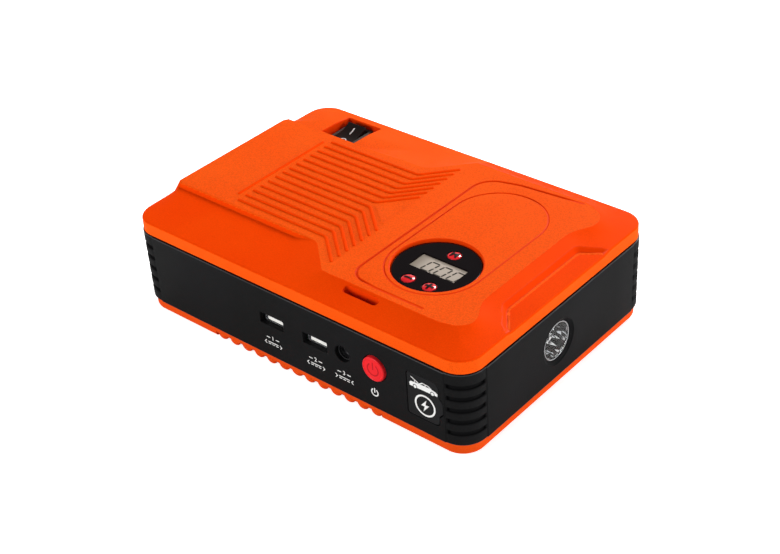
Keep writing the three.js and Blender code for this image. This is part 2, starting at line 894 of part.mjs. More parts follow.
function rockerPaddle() {
  const end = 7.9;
  const halfWidth = 5.5;
  const profile = [
    [-end, 3.2],
    [-end, -1.2],
    [-5.6, -5.2],
    [5.6, -5.2],
    [end, -1.2],
    [end, 3.2],
    [4, 2.05],
    [0, 1.6],
    [-4, 2.05],
  ];
  const tilt = THREE.MathUtils.degToRad(rocker.tilt);
  const leaned = profile.map(([y, z]) => [
    rocker.y + y * Math.cos(tilt) - z * Math.sin(tilt),
    rocker.pivot + y * Math.sin(tilt) + z * Math.cos(tilt),
  ]);
  return alongX(polygon(leaned), rocker.x - halfWidth, rocker.x + halfWidth);
}

// ---------- boards and battery ----------
function batteryCell(i) {
  const z0 = cell.first + i * cell.pitch;
  const z1 = z0 + cell.thick;
  const tabs = [24, 46].map((y) => box(cell.x0 - 3.5, cell.x0 + 1, y, y + 8, z0 + 3.2, z0 + 3.8));
  return join(box(cell.x0, cell.x1, cell.y0, cell.y1, z0, z1), ...tabs);
}

function batteryTray() {
  const outer = box(cell.x0 - 0.2, cell.x1 + 1.6, cell.y0 - 1.6, cell.y1 + 1.4, floorTop + fit, 12);
  const inner = box(cell.x0 - 1, cell.x1 + 0.3, cell.y0 - 0.3, cell.y1 + 0.3, 5.6, 13);
  return cut(outer, inner);
}

const busBar = (y) => box(cell.x0 - 5, cell.x0 - 3.8, y, y + 8, cell.first + 1, 34);

function heatSink() {
  const fins = [0, 1, 2, 3, 4].map((i) => box(38, 60, -32 + i * 5, -30.4 + i * 5, 13, 24));
  return join(box(38, 60, -32, -10.4, mainBoard.top + fit, 14), ...fins);
}

function inductor() {
  const profile = [
    [2.6, 11.9],
    [7, 11.9],
    [7.6, 13],
    [7.6, 19],
    [7, 20],
    [2.6, 20],
    [2.6, 11.9],
  ];
  return turned(profile, "z", [22, -2, 0], 20);
}

// ---------- compressor ----------
function gearShape(teeth, turn) {
  const pitchRadius = (teeth * toothModule) / 2;
  const step = (2 * Math.PI) / teeth;
  const root = pitchRadius - 1.15 * toothModule;
  const tip = pitchRadius + 0.85 * toothModule;
  const corners = Array.from({ length: teeth }, (_, i) => i * step + turn).flatMap((a) => [
    [root, a - 0.27 * step],
    [tip, a - 0.09 * step],
    [tip, a + 0.09 * step],
    [root, a + 0.27 * step],
  ]);
  return polygon(corners.map(([r, a]) => [r * Math.cos(a), r * Math.sin(a)]));
}

const centreDistance = (toothModule * (crankTeeth + pinionTeeth)) / 2;
const motorX = crank.x + centreDistance;
const gearFace = -5.2;
const plate = { y0: -13.8, y1: -11.4 };
const boreRadius = 11;
const headX = -83.5;

function rodAlongY(radius, y0, y1, x, z, sides = 16) {
  return alongY(circleShape(x, z, radius, sides), y0, y1);
}

function gearAt(teeth, turn, x) {
  const shape = gearShape(teeth, turn);
  return solid(extruded(shape, 5).applyMatrix4(toY).translate(x, gearFace, crank.z));
}

function motorPinion() {
  const gear = gearAt(pinionTeeth, Math.PI / pinionTeeth, motorX);
  return join(gear, rodAlongY(1.5, plate.y0, gearFace - 4.5, motorX, crank.z, 12));
}

function crankGear() {
  const gear = gearAt(crankTeeth, 0, crank.x);
  return join(
    gear,
    rodAlongY(2.3, plate.y0, gearFace - 4.5, crank.x, crank.z),
    rodAlongY(1.6, gearFace - 1, gearFace + 0.8, crank.x + crank.throw, crank.z, 12),
  );
}

function motor() {
  const profile = [
    [0, -58.5],
    [3, -58.5],
    [3, -56],
    [13, -56],
    [13.5, -55],
    [13.5, -15.5],
    [12.8, plate.y0 - fit],
    [0, plate.y0 - fit],
  ];
  return turned(profile, "y", [motorX, 0, crank.z], 24);
}

function compressorFrame() {
  const wall = box(-61.6, -17, plate.y0, plate.y1, floorTop + fit, 40);
  const foot = box(-61.6, -17, plate.y0, 4, floorTop + fit, floorTop + 2.4);
  return cut(
    join(wall, foot),
    rodAlongY(2.2, plate.y0 - 1, plate.y1 + 1, motorX, crank.z),
    rodAlongY(3, plate.y0 - 1, plate.y1 + 1, crank.x, crank.z),
  );
}

const pistonX = crank.x + crank.throw - 21;

function pistonRod() {
  const y0 = crank.plane - 1.9;
  const y1 = crank.plane + 1.9;
  const eyeX = crank.x + crank.throw;
  const piston = turned(
    [
      [0, pistonX - 6],
      [10.7, pistonX - 6],
      [10.7, pistonX],
      [0, pistonX],
    ],
    "x",
    [0, crank.plane, crank.z],
    24,
  );
  const rod = box(pistonX - 1, eyeX - 2, y0, y1, crank.z - 2.2, crank.z + 2.2);
  const eye = rodAlongY(4, y0, y1, eyeX, crank.z);
  return cut(join(piston, rod, eye), rodAlongY(2, y0 - 1, y1 + 1, eyeX, crank.z, 12));
}

function airCylinder() {
  const open = -62.3;
  const profile = [
    [boreRadius, headX + fit],
    [13.2, headX + fit],
    [13.2, open],
    [boreRadius, open],
    [boreRadius, headX + fit],
  ];
  return turned(profile, "x", [0, crank.plane, crank.z], 24);
}

function cylinderHead() {
  const profile = [
    [0, -89],
    [4, -89],
    [4, -87.6],
    [13.2, -87.6],
    [13.2, -86.4],
    [11.4, -86.4],
    [11.4, -85],
    [13.2, -85],
    [13.2, headX],
    [0, headX],
  ];
  return turned(profile, "x", [0, crank.plane, crank.z], 24);
}

function airOutlet() {
  const bore = 4;
  const mouth = 0.15 - halfLength;
  const profile = [
    [0, -89.3],
    [5.2, -89.3],
    [5.2, -92.2],
    [8.2, -92.2],
    [8.2, -94.3],
    [outletRadius, -94.3],
    [outletRadius, mouth],
    [bore + 0.5, mouth],
    [bore, mouth + 0.5],
    [bore, -90.6],
    [0, -90.6],
  ];
  return turned(profile, "x", [0, crank.plane, crank.z], 24);
}

function airTube() {
  const route = [
    [-85.2, crank.plane, 39.3],
    [-85.2, crank.plane, 40.5],
    [-82, crank.plane, 42.6],
    [-60, crank.plane, 43],
    [-20, -6, 43],
    [20, -12, 43],
    [38, -16, 43],
  ];
  return tube(route, 1.6, 8, 26);
}

function starterLead(i) {
  const z = contactHeights[i];
  const y0 = faceY + 8.4 + 20.5 + fit;
  const x = 72.5 - 5 * i;
  const level = 20.5 + 4 * i;
  const route = [
    [contactX, y0, z],
    [contactX, y0 + 4, z],
    [x + 0.6, -24, level],
    [x, -10, level],
    [x, 6, level],
  ];
  return tube(route, 1.9, 8, 16);
}

// ---------- assembly ----------
add("top_cover", topCover(), orangePlastic);
add("bottom_cover", bottomCover(), orangePlastic);
add("socket_band", socketBand(), blackPlastic);
screwPlaces.forEach((place, i) => add(`case_screw_${i + 1}`, caseScrew(place), steel));

usbCentres.forEach((x, i) => {
  add(`usb_shell_${i + 1}`, usbShell(x), steel);
  add(`usb_tongue_${i + 1}`, usbTongue(x), whitePlastic);
});
add("charge_jack", jackBody(), blackPlastic);
add("charge_jack_pin", rodAlongY(1, faceY + 4.45, faceY + 15.5, jack.x, jack.z, 12), steel);
add("power_button", powerButton(), redPlastic);
add(
  "power_switch",
  box(power.x - 6, power.x + 6, powerFlange + 3.3, powerFlange + 10, board.top + fit, power.z + 5.6),
  blackPlastic,
);
add("port_board", box(-18, 60, powerFlange + 2, -40, board.bottom, board.top), circuitBoard);

add("starter_flap", starterFlap(), blackRubber);
add("starter_socket", starterSocket(), bluePlastic);
contactHeights.forEach((z, i) => {
  add(`starter_contact_${i + 1}`, starterContact(z), brass);
  add(`starter_lead_${i + 1}`, starterLead(i), i === 0 ? blackRubber : redSheath);
});

add("lamp_lens", lampLens(), clearPlastic);
add("lamp_reflector", lampReflector(), chrome);
add("lamp_led", lampLed(), whitePlastic);
add(
  "lamp_board",
  alongX(circleShape(lamp.y, lamp.z, 8.6, 24), halfLength - 16.8, halfLength - 15.2),
  aluminium,
);

add("gauge_fascia", fascia(), glossBlack);
add("gauge_display", display(), displayGlass);
Object.entries(gaugeButtons).forEach(([name, place]) => add(name, gaugeButton(place), redPlastic));
add("gauge_board", gaugeBoard(), circuitBoard);

add("rocker_housing", switchBody(), blackPlastic);
add("rocker_paddle", rockerPaddle(), blackPlastic);

add(
  "main_board",
  box(mainBoard.x0, mainBoard.x1, mainBoard.y0, mainBoard.y1, mainBoard.bottom, mainBoard.top),
  circuitBoard,
);
add("start_relay", box(8, 28, -32, -14, mainBoard.top + fit, 28), bluePlastic);
add("heat_sink", heatSink(), aluminium);
add("inductor", inductor(), brass);
[0, 1, 2, 3].forEach((i) => add(`battery_cell_${i + 1}`, batteryCell(i), cellFoil));
add("battery_tray", batteryTray(), blackPlastic);
add("bus_bar_negative", busBar(24), steel);
add("bus_bar_positive", busBar(46), steel);

add("compressor_motor", motor(), steel);
add("motor_pinion", motorPinion(), brass);
add("crank_gear", crankGear(), whitePlastic);
add("compressor_frame", compressorFrame(), steel);
add("piston_and_rod", pistonRod(), aluminium);
add("air_cylinder", airCylinder(), aluminium);
add("cylinder_head", cylinderHead(), aluminium);
add("air_outlet", airOutlet(), brass);
add("air_tube", airTube(), silicone);

export default pack;
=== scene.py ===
# A hand-held jump starter pack with a tyre compressor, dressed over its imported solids.
# Lengths in the dictionaries are millimetres in the case's own frame: +X along the long side,
# +Y towards the back, +Z up. The case stands caseShift back, so that the button's reach is centred too.
import json
import math

import bmesh
import bpy
import numpy as np
from mathutils import Matrix, Vector
from mathutils.geometry import delaunay_2d_cdt


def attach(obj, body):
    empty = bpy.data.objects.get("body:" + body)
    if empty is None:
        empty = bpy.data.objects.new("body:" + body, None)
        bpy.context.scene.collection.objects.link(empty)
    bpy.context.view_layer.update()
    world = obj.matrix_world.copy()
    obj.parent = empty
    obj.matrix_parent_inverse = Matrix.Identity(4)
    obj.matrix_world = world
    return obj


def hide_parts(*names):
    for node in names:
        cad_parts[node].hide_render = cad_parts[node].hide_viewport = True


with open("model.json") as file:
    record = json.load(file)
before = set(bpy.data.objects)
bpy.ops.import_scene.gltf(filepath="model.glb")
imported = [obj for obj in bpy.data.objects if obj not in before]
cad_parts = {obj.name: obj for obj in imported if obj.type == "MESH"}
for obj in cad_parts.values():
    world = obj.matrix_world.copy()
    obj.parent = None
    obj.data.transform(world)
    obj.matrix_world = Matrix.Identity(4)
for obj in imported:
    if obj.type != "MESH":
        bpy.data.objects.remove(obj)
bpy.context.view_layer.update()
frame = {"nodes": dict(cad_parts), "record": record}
caseShift = 0.65
print("frame loaded:", len(frame["nodes"]), "nodes")


# colours and materials

def linear(code):
    values = [int(code[i : i + 2], 16) / 255 for i in (1, 3, 5)]
    return [v / 12.92 if v <= 0.04045 else ((v + 0.055) / 1.055) ** 2.4 for v in values] + [1.0]


def addNode(material, kind, settings=None, links=None):
    nodeTree = material.node_tree
    node = nodeTree.nodes.new("ShaderNode" + kind)
    for name, value in (settings or {}).items():
        if name in node.inputs:
            node.inputs[name].default_value = value
        else:
            setattr(node, name, value)
    for socket, source in (links or {}).items():  # a socket goes by its name or its number
        nodeTree.links.new(source, node.inputs[socket])
    return node


def link(material, source, target):
    material.node_tree.links.new(source, target)


def newMaterial(name, **sockets):
    material = bpy.data.materials.new(name)
    material.use_nodes = True
    shader = material.node_tree.nodes["Principled BSDF"]
    for socket, value in sockets.items():
        shader.inputs[socket.replace("_", " ")].default_value = value
    material.diffuse_color = shader.inputs["Base Color"].default_value
    return material, shader


def addGrain(material, shader, size, depth, strength=1.0, stretch=(1, 1, 1)):
    # bump from a noise whose lumps are size mm wide and depth mm high
    place = addNode(material, "TexCoord").outputs["Object"]
    mapping = addNode(material, "Mapping", {"Scale": stretch}, {"Vector": place})
    settings = {"Scale": 1000 / size, "Detail": 2.0, "Roughness": 0.55}
    noise = addNode(material, "TexNoise", settings, {"Vector": mapping.outputs["Vector"]}).outputs["Fac"]
    bump = addNode(material, "Bump", {"Strength": strength, "Distance": depth / 1000}, {"Height": noise})
    link(material, bump.outputs["Normal"], shader.inputs["Normal"])
    return place, noise


def makeSurface(name, colours, roughness, grain, depth, speck, patch, stretch, gloss, **sockets):
    # two near colours drift in patches, patch mm wide, and the gloss drifts with the grain
    material, shader = newMaterial(name, Base_Color=linear(colours[0]), Roughness=roughness, **sockets)
    place, noise = addGrain(material, shader, grain, depth, stretch=stretch)
    patches = addNode(material, "TexNoise", {"Scale": 1000 / patch, "Detail": 3.0}, {"Vector": place})
    ramp = addNode(material, "ValToRGB", {}, {"Fac": patches.outputs["Fac"]})
    for element, position, code in zip(ramp.color_ramp.elements, (0.35, 0.65), colours):
        element.position = position
        element.color = linear(code)
    colour = ramp.outputs["Color"]
    middle = {"From Min": 0.3, "From Max": 0.7}
    if speck:  # the pits of the grain hold a little more shade than its tops
        settings = {**middle, "To Min": 1 - speck, "To Max": 1 + speck}
        shade = addNode(material, "MapRange", settings, {"Value": noise})
        mix = {"data_type": "RGBA", "blend_type": "MULTIPLY", "Factor": 1.0}
        colour = addNode(material, "Mix", mix, {6: colour, 7: shade.outputs["Result"]}).outputs[2]
    wear = addNode(material, "MapRange", {**middle, "To Min": gloss[0], "To Max": gloss[1]}, {"Value": noise})
    link(material, colour, shader.inputs["Base Color"])
    link(material, wear.outputs["Result"], shader.inputs["Roughness"])
    return material


def makePlastic(name, colours, roughness, grain, depth, speck=0.0, patch=30, **sockets):
    sockets.setdefault("Specular_IOR_Level", 0.09)  # a moulded skin is duller than a polished one
    gloss = (roughness - 0.04, roughness + 0.05)
    return makeSurface(name, colours, roughness, grain, depth, speck, patch, (1, 1, 1), gloss, **sockets)


def makeMetal(name, colours, roughness, grain, depth, stretch=(1, 1, 1)):
    gloss = (roughness * 0.8, roughness * 1.3)
    return makeSurface(name, colours, roughness, grain, depth, 0, 8, stretch, gloss, Metallic=1.0)


# ABS from a spark-eroded mould: an even fine grain. The flat deck looks paler than the slopes because the
# slopes' copy below holds painted shade
grainedOrange = makePlastic(
    "orange ABS, grained", ("#f2520d", "#f45610"), 0.6, 0.6, 0.07, 0.12,
    Specular_Tint=linear("#ff9030"), Specular_IOR_Level=0.025,
)
# the slopes, the ridges and the rim's rounding: the same ABS with a shallower grain; its deeper colour is
# painted shade for faces turned from the light
slopeOrangeShade = makePlastic(
    "orange ABS, lightly grained, painted shade", ("#f04002", "#f24403"), 0.5, 0.6, 0.03, 0.05,
    Specular_Tint=linear("#ff8a28"), Specular_IOR_Level=0.008,
)
# the lower cover's ABS, darker and browner as painted shade under the case
lowerOrangeShade = makePlastic(
    "orange ABS, lower cover, painted shade", ("#e04a12", "#e44e14"), 0.5, 0.6, 0.03, 0.05, Specular_IOR_Level=0.02
)
# the same ABS where the mould is polished: cut lines, steps and the walls of holes, deeper in colour as painted
# shade
polishedOrangeShade = makePlastic(
    "orange ABS, polished, painted shade", ("#e63a02", "#e83d03"), 0.4, 0.6, 0.006,
    Specular_Tint=linear("#ff8a28"), Specular_IOR_Level=0.03,
)
# black ABS of the band: a fine grain, so the black stays dull and even
grainedBlack = makePlastic(
    "black ABS, grained", ("#151515", "#181819"), 0.55, 0.7, 0.05, 0.12, 40, Specular_IOR_Level=0.045
)
# the same plastic down in the grip slots, where little light reaches
slotBlack = makePlastic(
    "black ABS, in the grip slots", ("#0c0c0d", "#0f0f10"), 0.6, 0.7, 0.03, 0.06, 40, Specular_IOR_Level=0.03
)
# the band's outer edges: a thin paler line, a painted highlight, in a smoother gloss
edgeHighlightBlack = makePlastic(
    "black ABS, painted edge highlight", ("#2b2e30", "#33373a"), 0.35, 0.7, 0.01, Specular_IOR_Level=0.2
)
# soft black rubber of the starter cover: no gloss, a slight bloom
softRubber = makePlastic("black rubber, moulded", ("#1c1c1d", "#202021"), 0.68, 0.5, 0.02, 0.05, 18)
# hard black plastic of the jack: a small sharp gleam in the hole
plainBlack = makePlastic(
    "black nylon, moulded", ("#202021", "#262628"), 0.36, 0.4, 0.01, Specular_IOR_Level=0.5
)
# the switch's browned black, smoother than the case, and the greyer frame round it
switchBlack = makePlastic(
    "black polycarbonate, moulded", ("#1b1412", "#211815"), 0.42, 0.5, 0.006, Specular_IOR_Level=0.2
)
switchGrey = makePlastic("grey polycarbonate, moulded", ("#4b443f", "#544c46"), 0.4, 0.5, 0.008)
# red acrylic keys: a clear wet coat over a strong red
redKey = makePlastic(
    "red acrylic, polished", ("#e8232b", "#ee2a31"), 0.24, 0.8, 0.004, Coat_Weight=0.6, Coat_Roughness=0.05
)
# the power button's red ABS: a soft sheen, and the sign sunk in it lies in its own shade
redButton = makePlastic(
    "red ABS, satin", ("#e51f26", "#ea252b"), 0.32, 0.6, 0.01, Coat_Weight=0.08, Coat_Roughness=0.15
)
redSunk = makePlastic("red ABS, in the engraving's shade", ("#b4161c", "#bd191f"), 0.4, 0.6, 0.006)
# black acrylic face of the gauge: a dark mirror
pianoBlack = makePlastic(
    "black acrylic, polished", ("#0b0507", "#0e0709"), 0.07, 6.0, 0.002, Specular_IOR_Level=0.3
)
# white nylon of the sockets' tongues: plain and dull
whitePlastic = makePlastic("white nylon, moulded", ("#e9e8e3", "#efeee9"), 0.42, 0.5, 0.01)
# pad-printed inks: flat colour with a faint tooth
whiteInk = makePlastic("white pad-print ink", ("#e4e4e2", "#eeeeec"), 0.5, 0.25, 0.006)
blackInk = makePlastic("black pad-print ink", ("#120b0c", "#190f10"), 0.45, 0.25, 0.006)
# liquid crystal: the lit digits are near black, the unlit marks barely darker than the panel
digitInk = makePlastic("liquid crystal digits, dark", ("#3a342f", "#423b35"), 0.4, 0.4, 0.002)
faintInk = makePlastic("liquid crystal digits, faint", ("#8a8178", "#908880"), 0.4, 0.4, 0.002)
# inner pieces, seen only through the openings
bluePlastic = makePlastic("blue polypropylene, moulded", ("#1f4f94", "#2558a0"), 0.4, 0.6, 0.01)
circuitBoard = makePlastic("green solder mask on glass fibre", ("#14502e", "#1a5c36"), 0.35, 1.2, 0.01)
siliconeTube = makePlastic("silicone rubber tube", ("#d2d0c8", "#dad8d1"), 0.45, 0.8, 0.01)
redSheath = makePlastic("red PVC sheath", ("#ab211a", "#b8281f"), 0.45, 0.8, 0.01)
# the lamp's chip: yellow under a clear wet dome
ledYellow = makePlastic(
    "phosphor under clear silicone", ("#d9c65a", "#e2d070"), 0.25, 0.3, 0.004, Coat_Weight=0.8
)
# stamped nickel-plated steel of the shells and screws, drawn along Y
nickelSteel = makeMetal(
    "nickel-plated steel, stamped", ("#b4b6ba", "#c4c6c9"), 0.3, 0.4, 0.004, (1, 0.12, 1)
)
# chromed facets of the reflector: bright chrome, and a dark copy that is painted shade on facets that would
# mirror the throat
mirrorChrome = makeMetal("vacuum-chromed plastic", ("#e4e6e9", "#ecedef"), 0.05, 2.5, 0.004)
shadedChrome = makeMetal("vacuum-chromed plastic, in shade", ("#1c1d1f", "#2b2c2f"), 0.2, 2.5, 0.003)
# silvered rim of the lamp, brighter than the band round it
rimSilver = makeMetal("silver-plated plastic, satin", ("#d0d2d4", "#dcdee0"), 0.22, 0.8, 0.004)
# brass with the rings of the lathe tool
turnedBrass = makeMetal("turned brass", ("#b98f3a", "#c79d48"), 0.28, 0.35, 0.004, (3, 0.3, 0.3))
castAluminium = makeMetal("cast aluminium", ("#a9acb0", "#b9bcbf"), 0.42, 0.9, 0.02)
cellFoil = makeMetal("aluminium pouch foil, matt", ("#9a9ea4", "#a6aab0"), 0.5, 3.5, 0.03)


def makeDisplay():
    # reflective liquid crystal under a clear window: warm grey, darker where the frame shades it
    material, shader = newMaterial(
        "liquid crystal panel under clear acrylic",
        Base_Color=linear("#a99c8e"), Roughness=0.3, Coat_Weight=0.5, Coat_Roughness=0.04,
    )
    place = addGrain(material, shader, 0.35, 0.002)[0]
    axes = addNode(material, "SeparateXYZ", {}, {"Vector": place})
    shares = {}
    for number, (axis, start, end) in enumerate((("X", 0.0354, 0.043), ("Y", -0.0152, -0.0178))):
        settings = {"interpolation_type": "SMOOTHSTEP", "From Min": start, "From Max": end}
        share = addNode(material, "MapRange", settings, {"Value": axes.outputs[axis]})
        shares[number] = share.outputs["Result"]
    light = addNode(material, "Math", {"operation": "MULTIPLY"}, shares)
    ramp = addNode(material, "ValToRGB", {}, {"Fac": light.outputs["Value"]})
    for element, code in zip(ramp.color_ramp.elements, ("#8c8072", "#bdb0a2")):
        element.color = linear(code)
    link(material, ramp.outputs["Color"], shader.inputs["Base Color"])
    return material


def makeClear():
    # polycarbonate lens: clear, faintly rippled; thin and bloomed, it mirrors less than a solid lens
    material, shader = newMaterial(
        "clear polycarbonate, polished",
        Base_Color=linear("#fbfbf9"), Roughness=0.02, IOR=1.16, Transmission_Weight=1.0,
    )
    addGrain(material, shader, 5.0, 0.006, 0.6)
    return material


displayGlass = makeDisplay()
clearLens = makeClear()

slotMaterials = {
    "orange_shell": grainedOrange,
    "black_shell": grainedBlack,
    "black_rubber": softRubber,
    "red_plastic": redButton,
    "gloss_black": pianoBlack,
    "display_glass": displayGlass,
    "clear_lens": clearLens,
    "white_plastic": whitePlastic,
    "steel": nickelSteel,
    "chrome": mirrorChrome,
    "brass": turnedBrass,
    "aluminium": castAluminium,
    "circuit_board": circuitBoard,
    "cell_foil": cellFoil,
    "blue_plastic": bluePlastic,
    "silicone": siliconeTube,
    "red_sheath": redSheath,
}


# flat outlines, in millimetres

def roundedPath(corners, radius, closed=True, turn=12):
    # the corners joined by straight runs, each corner turned on an arc; a corner may give its own radius
    count = len(corners)
    path = []
    for i, corner in enumerate(corners):
        here = np.array(corner[:2], float)
        if not closed and i in (0, count - 1):
            path.append(here)
            continue
        before = np.array(corners[i - 1][:2], float) - here
        after = np.array(corners[(i + 1) % count][:2], float) - here
        reachBefore, reachAfter = np.linalg.norm(before), np.linalg.norm(after)
        before, after = before / reachBefore, after / reachAfter
        bend = math.pi - math.acos(max(-1.0, min(1.0, float(before @ after))))
        r = corner[2] if len(corner) > 2 else radius
        cutBack = min(r * math.tan(bend / 2), 0.49 * reachBefore, 0.49 * reachAfter)
        if bend < 0.01 or cutBack < 1e-3:
            path.append(here)
            continue
        r = cutBack / math.tan(bend / 2)
        centre = here + (before + after) / np.linalg.norm(before + after) * r / math.cos(bend / 2)
        start, end = here + before * cutBack - centre, here + after * cutBack - centre
        a0 = math.atan2(start[1], start[0])
        sweep = math.atan2(start[0] * end[1] - start[1] * end[0], float(start @ end))
        steps = max(2, int(math.ceil(abs(math.degrees(sweep)) / turn)))
        turns = [a0 + sweep * k / steps for k in range(steps + 1)]
        path.extend(centre + r * np.array([math.cos(a), math.sin(a)]) for a in turns)
    return np.array(path)


def divided(path, step, closed=True):
    # the same line with extra points, none further than step apart
    ends = np.vstack([path, path[:1]]) if closed else path
    out = []
    for a, b in zip(ends, ends[1:]):
        pieces = max(1, int(math.ceil(np.linalg.norm(b - a) / step)))
        out.extend(a + (b - a) * k / pieces for k in range(pieces))
    return np.array(out if closed else out + [ends[-1]])


def sideways(path, closed=True):
    # unit directions to the right of the path at each point, lengthened at the corners
    following = np.roll(path, -1, axis=0) - path
    if not closed:
        following[-1] = following[-2]
    run = following / np.linalg.norm(following, axis=1)[:, None]
    earlier = np.roll(run, 1, axis=0)
    if not closed:
        earlier[0] = run[0]
    right = np.stack([run[:, 1] + earlier[:, 1], -run[:, 0] - earlier[:, 0]], axis=1)
    size = np.linalg.norm(right, axis=1)[:, None]
    return right / size * np.minimum(2 / size, 1.6)


def grown(path, distance):
    return path + sideways(path) * distance


def roundBar(path, width, capSteps=6):
    # the outline of a line of even width with round ends
    path = np.asarray(path, float)
    side = sideways(path, closed=False) * width

    def cap(centre, direction):
        a0 = math.atan2(direction[1], direction[0])
        turns = [a0 + math.pi * k / capSteps for k in range(1, capSteps)]
        return [centre + width * np.array([math.cos(a), math.sin(a)]) for a in turns]

    right, left = list(path + side), list((path - side)[::-1])
    return np.array(right + cap(path[-1], side[-1]) + left + cap(path[0], -side[0]))


def circlePath(x, y, radius, sides=48):
    angle = np.arange(sides) / sides * 2 * math.pi
    return np.stack([x + radius * np.cos(angle), y + radius * np.sin(angle)], axis=1)


def rectPath(x0, x1, y0, y1, radius, turn=30):
    return roundedPath([(x1, y0), (x1, y1), (x0, y1), (x0, y0)], radius, turn=turn)


def blockPath(x, y, w, h, radius, turn=30):
    # a rounded rectangle about its middle; w and h are half sizes
    return rectPath(x - w, x + w, y - h, y + h, radius, turn)


def planDistance(points, inset):
    # negative inside the case's plan drawn in by inset
    half = np.array([case["halfLength"], case["halfDepth"]]) - inset
    r = case["corner"] - inset
    q = np.abs(points) - (half - r)
    return np.linalg.norm(np.maximum(q, 0), axis=1) + np.minimum(q.max(axis=1), 0) - r


def segmentsOf(path, closed=True):
    return (path, np.roll(path, -1, axis=0)) if closed else (path[:-1], path[1:])


def distanceTo(points, starts, ends):
    best = np.full(len(points), 1e9)
    for a, b in zip(starts, ends):
        run = b - a
        along = np.clip(((points - a) @ run) / max(run @ run, 1e-12), 0, 1)
        gap = points - a - along[:, None] * run
        best = np.minimum(best, np.einsum("ij,ij->i", gap, gap))
    return np.sqrt(best)


def signedDistance(points, path):
    # negative inside the closed outline
    starts, ends = segmentsOf(path)
    inside = np.zeros(len(points), bool)
    for a, b in zip(starts, ends):
        if a[1] == b[1]:
            continue
        crosses = (a[1] > points[:, 1]) != (b[1] > points[:, 1])
        at = a[0] + (points[:, 1] - a[1]) * (b[0] - a[0]) / (b[1] - a[1])
        inside ^= crosses & (points[:, 0] < at)
    away = distanceTo(points, starts, ends)
    return np.where(inside, -away, away)


def eased(t):
    t = np.clip(t, 0, 1)
    return t * t * (3 - 2 * t)


def lineBump(away, half, flat):
    return 1 - eased((away - flat) / (half - flat))


def softMin(a, b, width):
    h = np.maximum(width - np.abs(a - b), 0) / width
    return np.minimum(a, b) - h * h * width / 4


def softMax(a, b, width):
    return -softMin(-a, -b, width)


# skins: sheets over an outline, joined by rings into one closed shell. Mesh operators can't
# follow these height fields with their fine lines, so the shells are triangulated in plan

def newSkin():
    return {"points": [], "normals": [], "faces": [], "finish": [], "count": 0}


def addPatch(skin, points, normals, faces, finish=0):
    faces = np.asarray(faces) + skin["count"]
    skin["points"].append(points)
    skin["normals"].append(normals)
    skin["faces"].extend(faces.tolist())
    skin["finish"].extend(np.broadcast_to(finish, len(faces)).tolist())
    skin["count"] += len(points)


def surfaceOf(place, uv):
    # points of a mapped sheet and their unit normals
    step = 0.02
    du = place(uv + [step, 0]) - place(uv - [step, 0])
    dv = place(uv + [0, step]) - place(uv - [0, step])
    normal = np.cross(du, dv)
    return place(uv), normal / np.linalg.norm(normal, axis=1)[:, None]


def triangulate(outline, holes, guides, dots):
    points, edges = [], []

    def chain(path, closed):
        first = len(points)
        points.extend(map(tuple, path))
        ids = list(range(first, len(points)))
        edges.extend(zip(ids, ids[1:]))
        if closed:
            edges.append((ids[-1], ids[0]))
            spin = np.cross(path, np.roll(path, -1, axis=0)).sum()
            return ids if spin > 0 else ids[::-1]

    loops = [chain(path, True) for path in [outline, *holes]]
    for path, closed in guides:
        chain(path, closed)
    points.extend(map(tuple, dots))
    made = delaunay_2d_cdt([Vector(p) for p in points], edges, loops, 1, 1e-4, True)
    flat = np.array([points[source[0]] if source else tuple(p) for p, source in zip(made[0], made[3])])
    kept = [face for face, origin in zip(made[2], made[5]) if list(origin) == [0]]
    return flat, np.array(kept)


def addSheet(skin, outline, holes, place, guides=(), dots=(), flip=False, finish=0):
    flat, triangles = triangulate(outline, holes, guides, dots)
    corners = flat[triangles]
    turn = np.cross(corners[:, 1] - corners[:, 0], corners[:, 2] - corners[:, 0])
    triangles[turn < 0] = triangles[turn < 0][:, ::-1]
    points, normals = surfaceOf(place, flat)
    if callable(finish):
        finish = finish(corners.mean(axis=1))
    if flip:
        triangles, normals = triangles[:, ::-1], -normals
    addPatch(skin, points, normals, triangles, finish)


def addRings(skin, rings, finish=0):
    # quads between successive rings of points; the sheet lies left of the first ring
    for (a, na), (b, nb) in zip(rings, rings[1:]):
        one = np.arange(len(a))
        two = (one + 1) % len(a)
        faces = np.stack([two, one, one + len(a), two + len(a)], axis=1)
        addPatch(skin, np.vstack([a, b]), np.vstack([na, nb]), faces, finish)


def addWall(skin, a, b, normals, finish=0):
    addRings(skin, [(a, normals), (b, normals)], finish)


def turnedEdge(points, normals, wall, radius, steps=4):
    # rings that round the edge from the sheet's normals over to the wall's
    rings = []
    angle = np.arccos(np.clip(np.einsum("ij,ij->i", normals, wall), -1, 1))[:, None]
    for t in np.arange(steps + 1) / steps:
        mixed = (np.sin((1 - t) * angle) * normals + np.sin(t * angle) * wall) / np.sin(angle)
        rings.append((points + radius * (mixed - normals), mixed))
    return rings


def unitRight(path):
    right = sideways(path)
    return right / np.linalg.norm(right, axis=1)[:, None]


def flatRight(points):
    # horizontal directions to the right of a closed ring of points
    return levelAt(unitRight(points[:, :2]), 0.0)


def even(direction, count):
    return np.tile(np.array(direction, float), (count, 1))


def levelAt(points, z):
    return np.column_stack([points[:, :2], np.full(len(points), z)])


def openRuns(ring, holes=(), gap=0.25):
    # a guide line where it stays clear of the holes, as open runs
    for hole in holes:
        ring = ring[signedDistance(ring, hole) > gap]
    breaks = np.nonzero(np.linalg.norm(np.diff(ring, axis=0), axis=1) > 4.6)[0] + 1
    return [(part, False) for part in np.split(ring, breaks) if len(part) > 1]


